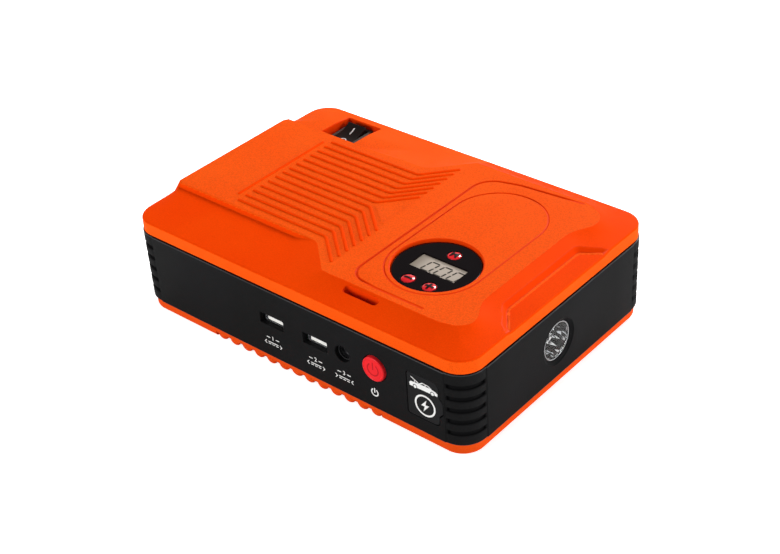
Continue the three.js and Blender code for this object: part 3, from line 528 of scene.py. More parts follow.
def finishSkin(name, skin, materials):
    points = np.vstack(skin["points"])
    normals = np.vstack(skin["normals"])
    keys = np.round((points + 0.000737) / 2e-3).astype(np.int64)  # points within 0.002 mm become one
    first, where = np.unique(keys, axis=0, return_index=True, return_inverse=True)[1:]
    where = where.ravel()
    faces, corners, marks = [], [], []
    for face, mark in zip(skin["faces"], skin["finish"]):
        loop = [int(where[i]) for i in face]
        chosen = [k for k in range(len(loop)) if loop[k] != loop[k - 1]]
        if len(chosen) < 3:
            continue
        faces.append([loop[k] for k in chosen])
        corners.extend(normals[face[k]] for k in chosen)
        marks.append(mark)
    world = (points[first] + [0, caseShift, 0]) * 0.001
    mesh = bpy.data.meshes.new(name)
    mesh.from_pydata(world.tolist(), [], faces)
    mesh.polygons.foreach_set("material_index", np.array(marks, np.int32))
    mesh.polygons.foreach_set("use_smooth", np.ones(len(faces), bool))
    mesh.normals_split_custom_set([tuple(n) for n in corners])
    mesh.update()
    return newPiece(name, mesh, materials)


def newPiece(name, mesh, materials):
    for material in materials:
        mesh.materials.append(material)
    piece = bpy.data.objects.new(name, mesh)
    bpy.context.collection.objects.link(piece)
    return piece


def settle(piece, body, slot, *nodes):
    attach(piece, body)
    if nodes:
        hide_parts(*nodes)
    return piece


# the case's plan

case = {
    "halfLength": 97.25,
    "halfDepth": 66.85,
    "corner": 12.0,
    "bandBottom": 6.7,
    "bandTop": 42.7,
    "topInset": 0.8,
    "bottomInset": 1.4,
    "seam": 0.3,
}


def planPath(inset, turn=6, step=4.0):
    r = max(case["corner"] - inset, 0.5)
    return divided(blockPath(0, 0, case["halfLength"] - inset, case["halfDepth"] - inset, r, turn), step)


# top cover

cover = {
    "deckTop": 53.7,
    "edgeTop": 49.4,
    "backEdgeTop": 50.8,
    "rimRadius": 1.0,
    "hollow": 0.4,
    "wall": 2.6,
    "skin": 2.4,
    "deckSkin": 2.5,
    "lip": 0.25,
    "deck": [
        (-110, -37.15), (-7.45, -37.15, 8), (9.45, -52.7, 2.5), (72, -52.7, 14), (80, -50.8, 7),
        (84.0, -46.6, 5), (84.05, -41.5, 9), (78.35, -31.6, 16), (78.35, 31.8, 16), (83.9, 41.6, 9),
        (83.7, 46.8, 6), (80.6, 51.8, 8), (72, 55.5, 14), (9.45, 56.15, 2.5), (-7.45, 38.25, 8), (-110, 38.25),
    ],
    "under": [
        (-110, -34.6), (-6.5, -34.6), (10.4, -49.6), (75.2, -49.6),
        (75.2, 52.6), (10.4, 52.6), (-6.5, 35.7), (-110, 35.7),
    ],
    "recess": [(86.5, -25.5), (86.5, 25.5), (99.5, 36.8), (99.5, -42.8)],
    "recessDepth": 1.7,
    "recessRun": 2.2,
    "recessLip": 0.25,
    "groove": [(70, 54.2), (38, 51.2, 20), (20.6, 46.5, 15), (20.9, -47.5, 16), (36, -49.2, 4), (62, -49.2)],
    "grooveDepth": 0.55,
    "grooveHalf": 0.75,
    "trackHalf": 0.5,
    "track": {"x": 46.6, "y0": -21.2, "y1": 22.0, "radius": 22.3},
}
ridges = {"half": 0.8, "height": 0.62, "pitch": 4.96, "count": 7, "left": -60.0, "bend": -6.5}
fork = {"half": 0.45, "height": 0.4, "corners": [(-4.5, -0.4), (7.9, -10.3), (7.9, 11.5)]}
gauge = {"x": 46.6, "y": -21.2, "radius": 19.45, "top": 52.45, "thick": 2.05, "seatHole": 18.45, "boss": 22.2}
well = {
    "x0": -74.75, "x1": -53.95, "y0": 38.25, "y1": 60.65,
    "floor": 45.6, "thick": 2.2, "switch": (-66.25, 49.85),
}
ventSlot = {"x0": 24.7, "x1": 43.2, "y0": -57.3, "y1": -53.9}

rimPlan = planPath(case["topInset"])
deckPath = divided(roundedPath(cover["deck"], 5, turn=10), 4.0)
deckUnder = roundedPath(cover["under"], 3)
recessPath = divided(roundedPath(cover["recess"], 3.5, turn=15), 3.0)


def ridgeLines():
    bend, left = ridges["bend"], ridges["left"]
    lines = []
    for i in range(ridges["count"]):
        back, front = 2.05 + i * ridges["pitch"], -2.4 - i * ridges["pitch"]
        for y, tip in ((back, (6.5, back + 14.4)), (front, (8.4, front - 13))):
            lines.append(roundedPath([(left, y), (bend, y), tip], 3.5, False, 9))
    return lines + [np.array([(-64.0, -28.0), (-64.0, 29.3)])]


def trackPath():
    t = cover["track"]
    turns = np.radians(np.arange(0, 181, 7.5))
    across, along = t["radius"] * np.cos(turns), t["radius"] * np.sin(turns)
    top = np.stack([t["x"] + across, t["y1"] + along], axis=1)
    low = np.stack([t["x"] - across, t["y0"] - along], axis=1)
    return divided(np.vstack([top, low]), 3.0)


ridgePaths = [divided(line, 5.0, closed=False) for line in ridgeLines()]
ridgeRuns = np.vstack([p[:-1] for p in ridgePaths]), np.vstack([p[1:] for p in ridgePaths])
forkPath = divided(roundedPath(fork["corners"], 0.6, False, 20), 4.0, closed=False)
forkRuns = segmentsOf(forkPath, False)
groovePath = divided(roundedPath(cover["groove"], 10, False, 8), 3.0, closed=False)
grooveRuns = segmentsOf(groovePath, False)
trackLine = trackPath()
trackRuns = segmentsOf(trackLine)


def coverHeight(p, lines=True):
    # height of the grained skin above the table for points in plan
    x, y = p.T
    outDeck = signedDistance(p, deckPath)
    toRim = -planDistance(p, case["topInset"])
    top, low, lowBack = cover["deckTop"], cover["edgeTop"], cover["backEdgeTop"]
    out, rim = np.maximum(outDeck, 0), np.maximum(toRim, 0.0)
    share = out / np.maximum(out + rim, 0.5)
    slope = top - (top - low) * share * (1 + cover["hollow"] * (1 - share))
    # two shelves beside the narrow deck, each with a ramp up to the wide deck
    fromFront, fromBack = y + 66.05, 66.05 - y
    front = softMax(low + 0.0761 * fromFront, low + 0.1659 * (x + 1.75) + 0.1829 * fromFront, 0.35)
    back = softMax(lowBack + 0.0278 * fromBack, lowBack + 0.0949 * (x + 2.5) + 0.1797 * fromBack, 0.35)
    # the slopes take over where they are lower than the shelves
    outer = softMin(np.where(y < 0, front, back), slope, 0.3)
    stepped = 1 - eased((x + 2) / 9)
    start, run = -0.3 - 0.6 * stepped, 0.6 + 1.4 * stepped
    height = top + (outer - top) * eased((outDeck - start) / run)
    height = np.where(outDeck < start, top, height)
    # the long flank is cut deeper
    inRecess = -signedDistance(p, recessPath)
    deepening = cover["recessDepth"] * (0.45 + 0.55 * np.clip(toRim / 9, 0, 1))
    height = height - deepening * eased((inRecess + cover["recessRun"]) / cover["recessRun"])
    lip = lineBump(np.abs(inRecess - 0.5), 0.5, 0.05) * eased((toRim - 1.8) / 2.5)
    height = height + cover["recessLip"] * lip
    if not lines:
        return height
    # raised lines and cut lines on the deck
    near = (x > -67) & (x < 75) & (y > -54) & (y < 58)
    q, x, y = p[near], x[near], y[near]
    bars = ridges["height"] * lineBump(distanceTo(q, *ridgeRuns), ridges["half"], 0.24)
    forked = fork["height"] * lineBump(distanceTo(q, *forkRuns), fork["half"], 0.08)
    grooveFade = eased((70 - x) / 12) * (1 - 0.75 * eased((x - 27) / 9) * (y < 0))
    groove = lineBump(distanceTo(q, *grooveRuns), cover["grooveHalf"], 0.1) * grooveFade
    trackFade = np.clip(0.35 + 0.65 * eased((60 - x) / 14), 0, 1) * eased((y + 43) / 8 + 0.2)
    track = lineBump(distanceTo(q, *trackRuns), cover["trackHalf"], 0.02) * trackFade
    height[near] += np.maximum(bars, forked) - cover["grooveDepth"] * np.maximum(groove, 0.9 * track)
    return height


def coverPlace(uv):
    return np.column_stack([uv, coverHeight(uv)])


def underPlace(uv):
    # the cover's underside: deep under the deck, shallower beyond it
    beyond = np.maximum(signedDistance(uv, deckUnder), 0)
    deep = cover["deckTop"] - cover["deckSkin"]
    shallow = cover["edgeTop"] - cover["skin"]
    return np.column_stack([uv, deep + (shallow - deep) * eased(beyond / 1.2)])


def coverDots(spacing, keepOut):
    # staggered points where the skin turns; flat stretches need none
    rows = []
    for j, y in enumerate(np.arange(-64, 64.1, spacing * 0.866)):
        xs = np.arange(-94.4, 94.5, spacing) + (j % 2) * spacing / 2
        rows.append(np.column_stack([xs, np.full(len(xs), y)]))
    p = np.vstack(rows)
    p = p[planDistance(p, case["topInset"]) < -1.9]
    e = 0.45
    z = coverHeight(p, False)
    bend = np.zeros(len(p))
    for dx, dy in ((e, 0), (0, e), (e * 0.7, e * 0.7), (e * 0.7, -e * 0.7)):
        sides = coverHeight(p + [dx, dy], False) + coverHeight(p - [dx, dy], False)
        bend = np.maximum(bend, np.abs(sides - 2 * z))
    p = p[bend > 0.0035]
    for path, gap in keepOut:
        p = p[signedDistance(p, path) > gap]
    return p


def coverGuides(holes):
    # lines that the triangles follow: both sides of each raised and cut line, and the deck's and recess's edges
    guides = []
    for path in ridgePaths:
        guides.extend((roundBar(path, w), True) for w in (0.24, 0.52, ridges["half"]))
    guides.extend((roundBar(forkPath, w, 4), True) for w in (0.08, fork["half"]))
    for w in (0.1, 0.4, cover["grooveHalf"]):
        guides.extend([(groovePath + sideways(groovePath, False) * s * w, False) for s in (-1, 1)])
    for w in (0.02, 0.24, cover["trackHalf"]):
        guides.extend([(trackLine + sideways(trackLine) * s * w, True) for s in (-1, 1)])
    for path, gaps in (
        (deckPath, (-0.9, -0.3, 0.0, 0.3, 0.7, 1.1)),
        (recessPath, (-1.0, -0.75, -0.5, -0.25, 0.0, 0.55, 1.1, 1.65, 2.2)),
    ):
        for gap in gaps:
            ring = grown(path, gap)
            ring = ring[planDistance(ring, case["topInset"]) < -1.8]
            if path is deckPath:  # the deck runs off the left end: the line starts there
                jumps = np.linalg.norm(ring - np.roll(ring, 1, axis=0), axis=1)
                ring = np.roll(ring, -int(np.argmax(jumps)), axis=0)
            guides.extend(openRuns(ring, holes if path is deckPath else ()))
    guides.append((np.array([(9.45, y) for y in np.linspace(56.5, 64.5, 4)]), False))
    return guides


def coverFinish(middles):
    # 0 grained; 1 polished, deeper in colour as painted shade; 2 lightly grained, deeper in colour as painted
    # shade
    x, y = middles.T
    inRecess = -signedDistance(middles, recessPath)
    # the cut lines and the recess's step take the polished copy with painted shade
    polished = distanceTo(middles, *grooveRuns) < cover["grooveHalf"]
    polished |= distanceTo(middles, *trackRuns) < cover["trackHalf"]
    polished |= (inRecess > -cover["recessRun"] - 0.1) & (inRecess < 0)
    ridged = distanceTo(middles, *ridgeRuns) < ridges["half"]
    # the recess's lip keeps the paler grained copy instead of the shaded one: a painted highlight along its
    # edge
    lip = (inRecess >= 0) & (inRecess < 1) & (planDistance(middles, case["topInset"]) < -1.6)
    # the slopes off the deck and the ridges take the copy with painted shade
    flank = (signedDistance(middles, deckPath) > -0.15) & ((y < 0) | (x > 9.45))
    return np.where(ridged, 2, np.where(polished, 1, np.where(lip, 0, np.where(flank, 2, 0))))


def turnedRim(rim, radius, steps):
    # the skin turned down into a hole, and the directions of the hole's wall
    inward = flatRight(rim)
    return turnedEdge(*surfaceOf(coverPlace, rim), inward, radius, steps), inward


def buildTopCover():
    skin = newSkin()
    radius = cover["rimRadius"]
    wall = flatRight(rimPlan)
    right = wall[:, :2]
    tilt = surfaceOf(coverPlace, rimPlan - right * radius)[1][:, :2]
    outline = rimPlan - radius * (right - tilt)
    gaugeRim = circlePath(gauge["x"], gauge["y"], gauge["radius"] + 0.95, 96)[::-1]
    x0, x1, y0, y1 = (ventSlot[k] for k in ("x0", "x1", "y0", "y1"))
    slotRim = divided(rectPath(x0 - 0.3, x1 + 0.3, y0 - 0.3, y1 + 0.3, 1.9, 15), 2)[::-1]
    x0, x1, y0, y1 = (well[k] for k in ("x0", "x1", "y0", "y1"))
    wellRim = divided(rectPath(x0 - 0.35, x1 + 0.35, y0 + 0.15, y1 + 0.35, 1.0, 15), 2.5)[::-1]
    dots = coverDots(0.9, [(gaugeRim, 0.3), (slotRim, 0.4), (wellRim, 0.4)])
    guides = coverGuides((wellRim, slotRim))
    addSheet(skin, outline, [gaugeRim, slotRim, wellRim], coverPlace, guides, dots, finish=coverFinish)
    # the rim turns down into the wall, and the wall's foot turns in
    bottom = case["bandTop"] + case["seam"]
    rings = turnedEdge(*surfaceOf(coverPlace, outline), wall, radius, 6)
    foot = rings[-1][0]
    lip = levelAt(foot, bottom + cover["lip"])
    inner = foot - wall * cover["wall"]
    down = even((0, 0, -1), len(foot))
    # the rim's rounding takes the slopes' copy with painted shade
    addRings(skin, rings[:5], 2)
    addRings(skin, rings[4:] + [(lip, wall)])
    addRings(skin, turnedEdge(lip, wall, down, cover["lip"], 2) + [(levelAt(inner, bottom), down)])
    inTop = inner.copy()
    inTop[:, 2] = np.minimum(foot[:, 2], cover["edgeTop"]) - cover["skin"] + 0.4
    addWall(skin, levelAt(inner, bottom), inTop, -wall)
    # underside: the same skin, a wall's thickness lower
    bossRim = circlePath(gauge["x"], gauge["y"], gauge["boss"], 96)[::-1]
    slotBelow, wellBelow = grown(slotRim, 0.3), grown(wellRim, -1.6)
    holes = [bossRim, slotBelow, wellBelow]
    edge = inner[:, :2]
    underGuides = []
    for gap in (0, 0.6, 1.2):
        ring = divided(grown(deckUnder, gap), 4)
        underGuides.extend(openRuns(ring[signedDistance(ring, edge) < -0.4], holes, 0.4))
    addSheet(skin, edge, holes, underPlace, underGuides, flip=True)
    addWall(skin, inTop, underPlace(edge), -wall)
    # the gauge's seat
    rings, inward = turnedRim(gaugeRim, 0.6, 4)
    seatTop = gauge["top"] - gauge["thick"] - 0.3
    side = levelAt(rings[-1][0], seatTop)
    up = even((0, 0, 1), len(gaugeRim))
    ledge = levelAt(circlePath(gauge["x"], gauge["y"], gauge["seatHole"], 96)[::-1], seatTop)
    ledgeLow, bossLow = levelAt(ledge, seatTop - 1.8), levelAt(bossRim, seatTop - 1.8)
    # the walls down into the holes take the polished copy with painted shade
    addRings(skin, rings + [(side, inward)], 1)
    addWall(skin, side, ledge, up, 1)
    addWall(skin, ledge, ledgeLow, inward, 1)
    addWall(skin, ledgeLow, bossLow, -up)
    addWall(skin, bossLow, underPlace(bossRim), -inward)
    # the slot near the front edge
    rings, inward = turnedRim(slotRim, 0.3, 3)
    addRings(skin, rings + [(underPlace(slotBelow), inward)], 1)
    # the well round the rocker switch, with a hole in its floor for the switch's body
    rings, inward = turnedRim(wellRim, 0.35, 3)
    floor, floorLow = well["floor"], well["floor"] - well["thick"]
    addRings(skin, rings + [(levelAt(rings[-1][0], floor), inward)], 1)
    hole = divided(blockPath(*well["switch"], 6.7, 9.8, 0.5, 15), 4)[::-1]
    addSheet(skin, rings[-1][0][::-1, :2], [hole], lambda uv: levelAt(uv, floor), finish=1)
    addWall(skin, levelAt(hole, floor), levelAt(hole, floorLow), flatRight(hole))
    addSheet(skin, wellBelow[::-1], [hole], lambda uv: levelAt(uv, floorLow), flip=True)
    addWall(skin, levelAt(wellBelow, floorLow), underPlace(wellBelow), -flatRight(wellBelow))
    piece = finishSkin("coverShell", skin, [grainedOrange, polishedOrangeShade, slopeOrangeShade])
    settle(piece, "case", "orange_shell", "top_cover")


buildTopCover()
print("top cover made")


# black band with the sockets, drawn unwrapped: u runs round the plan, v is the height

band = {
    "wall": 2.6,
    "edge": 0.35,
    "lip": 0.25,
    "padDepth": 0.35,
    "padMargin": 0.4,
    "slotDepth": 1.6,
    "slotHeight": 2.8,
    "slotPitch": 5.9,
    "slotMiddle": 24.4,
    "usb": {"centres": (-9.95, 15.5), "z": 26.6, "width": 13.9, "height": 5.5},
    "jack": {"x": 31.15, "z": 27.6, "radius": 4.1},
    "power": {"x": 49.15, "z": 28.4, "radius": 6.25},
    "lamp": {"y": -3.75, "z": 24.6, "bore": 9.32, "dish": 10.9, "tube": 11.2, "tubeEnd": 13.2},
    "outlet": {"y": -2.2, "z": 25.7, "radius": 6.6},
    "pocketDepth": 2.0,
    "mouth": (68.8, 80.6, 15.6, 33.5),
    "backing": (64.9, 85.2, 11.8, 37.2),
    "backingDepth": 4.4,
}
flapShape = {"x0": 66.3, "x1": 82.75, "z0": 13.8, "z1": 35.3, "tab": 84.75, "tabZ": (19.8, 27.3)}

straightX = 2 * (case["halfLength"] - case["corner"])
straightY = 2 * (case["halfDepth"] - case["corner"])
quarter = math.pi * case["corner"] / 2
runs = [straightX / 2, quarter, straightY, quarter, straightX, quarter, straightY, quarter, straightX / 2]
marks = np.concatenate([[0], np.cumsum(runs)])

# the grips, one round each corner: middle and half length along u; the one by the starter cover is shorter
grips = [
    (marks[i] + quarter / 2 + shift, half)
    for i, shift, half in ((1, 0, 10.4), (3, 0, 10.4), (5, 0.72, 9.67), (7, 0, 10.4))
]
slotHeights = [band["slotMiddle"] + (i - 2) * band["slotPitch"] for i in range(5)]


def bandAt(u):
    # point of the plan's outline and its outward direction, from the middle of the back, turning left
    u = np.mod(u, marks[-1])
    hx, hy, r = case["halfLength"], case["halfDepth"], case["corner"]
    place, out = np.zeros((len(u), 2)), np.zeros((len(u), 2))
    starts = {0: (0, hy), 2: (-hx, hy - r), 4: (r - hx, -hy), 6: (hx, r - hy), 8: (hx - r, hy)}
    ways = {0: (-1, 0), 2: (0, -1), 4: (1, 0), 6: (0, 1), 8: (-1, 0)}
    centres = {
        1: (r - hx, hy - r, 90), 3: (r - hx, r - hy, 180),
        5: (hx - r, r - hy, 270), 7: (hx - r, hy - r, 0),
    }
    for i in range(9):
        here = (u >= marks[i]) & (u <= marks[i + 1])
        along = u[here] - marks[i]
        if i in centres:
            cx, cy, start = centres[i]
            a = math.radians(start) + along / r
            out[here] = np.column_stack([np.cos(a), np.sin(a)])
            place[here] = np.array([cx, cy]) + r * out[here]
        else:
            way = np.array(ways[i], float)
            place[here] = np.array(starts[i]) + along[:, None] * way
            out[here] = [way[1], -way[0]]
    return place, out


def frontU(x):
    return marks[4] + x + straightX / 2


def rightU(y):
    return marks[6] + y + straightY / 2


def leftU(y):
    return marks[2] + straightY / 2 - y


def frontLoop(path):
    # an outline in X and Z as a hole of the unwrapped band
    return np.column_stack([frontU(path[:, 0]), path[:, 1]])[::-1]


def bandPoint(uv, depth):
    place, out = bandAt(uv[:, 0])
    return np.column_stack([place - out * np.broadcast_to(depth, len(uv))[:, None], uv[:, 1]])


def bandOut(uv):
    return levelAt(bandAt(uv[:, 0])[1], 0.0)


def bandRight(loop):
    # directions to the right of an unwrapped loop, as seen from outside, in space
    right = unitRight(loop)
    out = bandAt(loop[:, 0])[1]
    return np.column_stack([-out[:, 1] * right[:, 0], out[:, 0] * right[:, 0], right[:, 1]])


def bandDepth(uv):
    depth = np.zeros(len(uv))
    for middle, reach in grips:
        c = np.abs(uv[:, 0] - middle)
        near = c < reach + 2
        if not near.any():
            continue
        q = uv[near]
        half = np.array([reach, band["slotHeight"] / 2]) - 0.5
        cutIn = np.zeros(len(q))
        for z in slotHeights:
            d = np.abs(q - [middle, z]) - half
            inside = np.linalg.norm(np.maximum(d, 0), axis=1) + np.minimum(d.max(axis=1), 0) - 0.5
            cutIn = np.maximum(cutIn, eased(-inside / 0.24))
        pad = band["padDepth"] * eased((reach + band["padMargin"] - c[near]) / 0.3)
        depth[near] = pad + band["slotDepth"] * cutIn
    return depth


def bandPlace(uv):
    return bandPoint(uv, bandDepth(uv))


def inSlot(middles):
    return (bandDepth(middles) > band["padDepth"] + 0.5 * band["slotDepth"]).astype(int)


def bandRim(path, radius):
    side = bandRight(path)
    return turnedEdge(bandPlace(path), bandOut(path), side, radius, 3), side


def flapPath(gap):
    f = flapShape
    x0, x1, tab, z0, z1 = f["x0"] - gap, f["x1"] + gap, f["tab"] + gap, f["z0"] - gap, f["z1"] + gap
    t0, t1 = f["tabZ"][0] - gap, f["tabZ"][1] + gap
    corners = [
        (x1, z0, 3 + gap), (x1, t0 - 1, 0.8), (tab, t0 + 1.2, 0.8), (tab, t1 - 1.2, 0.8),
        (x1, t1 + 1, 0.8), (x1, z1, 3 + gap), (x0, z1, 1.4 + gap), (x0, z0, 1.4 + gap),
    ]
    return divided(roundedPath(corners, 1, turn=15), 3)


def buildBand():
    skin = newSkin()
    edge, lip, wall = band["edge"], band["lip"], band["wall"]
    z0, z1 = case["bandBottom"], case["bandTop"]
    # stops along u: even ones, and close ones where a grip's pad starts
    counts = [17 if i % 2 else 8 if i % 8 else 5 for i in range(len(runs))]
    plain = np.concatenate([np.linspace(marks[i], marks[i + 1], n) for i, n in enumerate(counts)])
    margin = band["padMargin"]
    steps = [m + s * (half + margin - t) for m, half in grips for s in (-1, 1) for t in (0, 0.15, 0.3)]
    kept = [s for s in np.unique(np.round(plain, 6)) if min(abs(s - v) for v in steps) > 0.12]
    stops = np.array(sorted(kept + steps))
    curved = [s for s in stops if min(abs(s - m) - half for m, half in grips) <= margin + 1e-6]

    def boxOutline(low, high):
        return np.vstack([levelAt(stops[:, None], low), levelAt(stops[::-1, None], high)])

    usb, jack, power, lamp, outlet = (band[k] for k in ("usb", "jack", "power", "lamp", "outlet"))
    w, h = usb["width"] / 2 + lip, usb["height"] / 2 + lip
    openings = [blockPath(x, usb["z"], w, h, 0.55) for x in usb["centres"]]
    for spec, sides in ((jack, 40), (power, 56)):
        openings.append(circlePath(spec["x"], spec["z"], spec["radius"] + lip, sides))
    openings = [frontLoop(divided(path, 3)) for path in openings]
    openings.append(circlePath(leftU(outlet["y"]), outlet["z"], outlet["radius"] + lip, 48)[::-1])
    drawnIn = [grown(path, lip) for path in openings]
    pocket = frontLoop(flapPath(0.25 + lip))

    def lampLoop(radius, sides=72):
        return circlePath(rightU(lamp["y"]), lamp["z"], radius, sides)[::-1]

    dish = lampLoop(lamp["dish"] + 0.3)
    guides = [(np.array([(s, z0 + edge), (s, z1 - edge)]), False) for s in curved]
    for middle, reach in grips:
        for z in slotHeights:
            for gap in (0.02, -0.12, -0.24):
                w, h = reach + gap, band["slotHeight"] / 2 + gap
                guides.append((blockPath(middle, z, w, h, 0.5 + gap), True))
    outline = boxOutline(z0 + edge, z1 - edge)
    addSheet(skin, outline, openings + [pocket, dish], bandPlace, guides, finish=inSlot)
    # top and bottom edges, rounded over to flat lands
    for direction, run, level in ((1, stops[:-1][::-1], z1), (-1, stops[:-1], z0)):
        uv = levelAt(run[:, None], level - direction * edge)
        cap = even((0, 0, direction), len(run))
        rings = turnedEdge(*surfaceOf(bandPlace, uv), cap, edge, 3)
        uv[:, 1] = level
        # the rounded edges take the paler copy: a painted highlight
        addRings(skin, rings, 2)
        addRings(skin, [rings[-1], (bandPoint(uv, wall), cap)])
    # inside of the band, in plain steps where something is carried
    tube = lampLoop(lamp["tube"], 48)
    block = frontLoop(divided(rectPath(*band["backing"], 0.6), 4))
    guides = [(np.array([(s, z0), (s, z1)]), False) for s in curved]
    holes = drawnIn + [tube, block]
    addSheet(skin, boxOutline(z0, z1), holes, lambda uv: bandPoint(uv, wall), guides, flip=True)
    for path, small in zip(openings, drawnIn):
        rings, side = bandRim(path, lip)
        addRings(skin, rings + [(bandPoint(small, wall), side)])
    # the starter cover's pocket, its floor and the mouth of the socket behind it
    rings, side = bandRim(pocket, lip)
    foot = grown(pocket, lip)
    floor, deep = band["pocketDepth"], band["backingDepth"]
    addRings(skin, rings + [(bandPoint(foot, floor), side)])
    mouth = frontLoop(divided(rectPath(*band["mouth"], 0.8), 4))
    addSheet(skin, foot[::-1], [mouth], lambda uv: bandPoint(uv, floor))
    addWall(skin, bandPoint(mouth, floor), bandPoint(mouth, deep), bandRight(mouth))
    addSheet(skin, block[::-1], [mouth], lambda uv: bandPoint(uv, deep), flip=True)
    addWall(skin, bandPoint(block, deep), bandPoint(block, wall), -bandRight(block))
    # the dish and the bore of the lamp
    rings, toMiddle = bandRim(dish, 0.3)
    addRings(skin, rings)
    slant = (bandOut(dish) * 0.75 + toMiddle * 0.66) / math.hypot(0.75, 0.66)
    bore, end = lamp["bore"], lamp["tubeEnd"]
    start = bandPoint(lampLoop(lamp["dish"]), 0.42)
    foot = bandPoint(lampLoop(bore + 0.2), 0.95)
    addWall(skin, rings[-1][0], start, toMiddle)
    addWall(skin, start, foot, slant)
    addRings(skin, [(foot, slant)] + [(bandPoint(lampLoop(bore), depth), toMiddle) for depth in (1.2, end)])
    # the land at the tube's far end joins its two rings
    addSheet(skin, tube[::-1], [lampLoop(bore)], lambda uv: bandPoint(uv, end), flip=True)
    addWall(skin, bandPoint(tube, end), bandPoint(tube, wall), -bandRight(tube))
    piece = finishSkin("bandShell", skin, [grainedBlack, slotBlack, edgeHighlightBlack])
    settle(piece, "case", "black_shell", "socket_band")


buildBand()
print("band made")


# pieces shaped with mesh operators

def finishShape(name, shape, materials, angle=35):
    bmesh.ops.remove_doubles(shape, verts=shape.verts, dist=1e-4)
    bmesh.ops.recalc_face_normals(shape, faces=shape.faces)
    bmesh.ops.translate(shape, vec=(0, caseShift, 0), verts=shape.verts)
    bmesh.ops.scale(shape, vec=(0.001, 0.001, 0.001), verts=shape.verts)
    mesh = bpy.data.meshes.new(name)
    shape.to_mesh(mesh)
    shape.free()
    return evenShade(newPiece(name, mesh, materials), angle)


def evenShade(piece, angle):
    # large flats stay flat beside their rounded edges
    mesh = piece.data
    mesh.polygons.foreach_set("use_smooth", np.ones(len(mesh.polygons), bool))
    mesh.set_sharp_from_angle(angle=math.radians(angle))
    if "evenShade" not in piece.modifiers:
        shade = piece.modifiers.new("evenShade", "WEIGHTED_NORMAL")
        shade.keep_sharp = True
        shade.weight = 90
    return piece


def bevelEdges(shape, edges, width, segments=3):
    edges = list(edges)
    bmesh.ops.recalc_face_normals(shape, faces=shape.faces)  # a bevel goes the wrong way on mixed faces
    bmesh.ops.bevel(
        shape, geom=edges, offset=width, offset_type="OFFSET", segments=segments, profile=0.5,
        affect="EDGES", material=-1, clamp_overlap=True,
    )


def lifted(shape, face, height, keep=False):
    # the face moved along Z on new walls
    made = bmesh.ops.extrude_face_region(shape, geom=[face])["geom"]
    top = [f for f in made if isinstance(f, bmesh.types.BMFace)][0]
    bmesh.ops.translate(shape, vec=(0, 0, height), verts=top.verts)
    if not keep:
        bmesh.ops.delete(shape, geom=[face], context="FACES_ONLY")
    return top


def extrudedOutline(shape, path, low, high):
    # a flat outline in X and Y raised from low to high; gives back the bottom and top faces
    base = shape.faces.new([shape.verts.new((float(x), float(y), low)) for x, y in path])
    top = lifted(shape, base, high - low, keep=True)
    base.normal_flip()
    return base, top


def spunProfile(shape, profile, steps):
    # a profile of (radius, height) turned once round the Z axis
    verts = [shape.verts.new((float(r), 0.0, float(z))) for r, z in profile]
    edges = [shape.edges.new(pair) for pair in zip(verts, verts[1:])]
    bmesh.ops.spin(
        shape, geom=verts + edges, cent=(0, 0, 0), axis=(0, 0, 1), angle=2 * math.pi, steps=steps,
        use_merge=True, use_duplicate=False,
    )
    bmesh.ops.remove_doubles(shape, verts=shape.verts, dist=1e-4)


# a drawing's X and Y, and its height, laid on the top, on the front, on the right end and on the left end
onTop = Matrix()
onFront = Matrix(((1, 0, 0, 0), (0, 0, -1, 0), (0, 1, 0, 0), (0, 0, 0, 1)))
onRight = Matrix(((0, 0, 1, 0), (1, 0, 0, 0), (0, 1, 0, 0), (0, 0, 0, 1)))
onLeft = Matrix(((0, 0, -1, 0), (-1, 0, 0, 0), (0, 1, 0, 0), (0, 0, 0, 1)))
frontFace = -case["halfDepth"]


def placed(shape, matrix, at=(0, 0, 0)):
    bmesh.ops.transform(shape, matrix=Matrix.Translation(at) @ matrix, verts=shape.verts)
    return shape


def turnedPiece(name, profile, steps, matrix, at, materials=(), angle=35):
    shape = bmesh.new()
    spunProfile(shape, profile, steps)
    return finishShape(name, placed(shape, matrix, at), materials, angle)


def slabPiece(name, outlines, low, high, matrix, at, materials=(), bevel=0, segments=3):
    # flat outlines raised from low to high, their top edges rounded
    shape = bmesh.new()
    for path in outlines:
        top = extrudedOutline(shape, path, low, high)[1]
        if bevel:
            bevelEdges(shape, top.edges, bevel, segments)
    return finishShape(name, placed(shape, matrix, at), materials)


def combined(base, joined, cutters, name, angle=35):
    # one closed piece from overlapping ones, less the cutters; both are used up
    tools = joined + cutters
    for tool in tools:
        step = base.modifiers.new(tool.name, "BOOLEAN")
        step.operation = "UNION" if tool in joined else "DIFFERENCE"
        step.solver = "MANIFOLD"
        step.object = tool
    bpy.context.view_layer.update()
    solid = bpy.data.meshes.new_from_object(base.evaluated_get(bpy.context.evaluated_depsgraph_get()))
    base.modifiers.clear()
    base.data = solid
    for tool in tools:
        bpy.data.objects.remove(tool)
    base.name = name
    return evenShade(base, angle)


# bottom cover: a shallow tray with round bars across its underside

tray = {"under": 2.2, "floor": 4.1, "top": 6.4, "edge": 1.7, "tongue": 9.2, "foot": 0.65, "footFrom": 49.9}
bars = {"count": 13, "pitch": 7.7, "radius": 3.3, "middle": 3.8, "blunt": 0.45}
screws = {
    "places": [(-88, -54), (88, -54), (88, 54), (-88, 54), (-56, -57.2), (-14, 57.8)],
    "bore": 3.3,
    "seat": 8.1,
    "post": 5.2,
    "neck": 3.6,
    "shank": 1.75,
    "head": [(0, 5.3), (2.1, 5.34), (2.55, 5.5), (2.8, 5.8), (2.9, 6.2), (2.9, 7.9)],
    "stem": [(1.5, 7.9), (1.5, 37), (0.4, 38.5), (0, 38.5)],
}


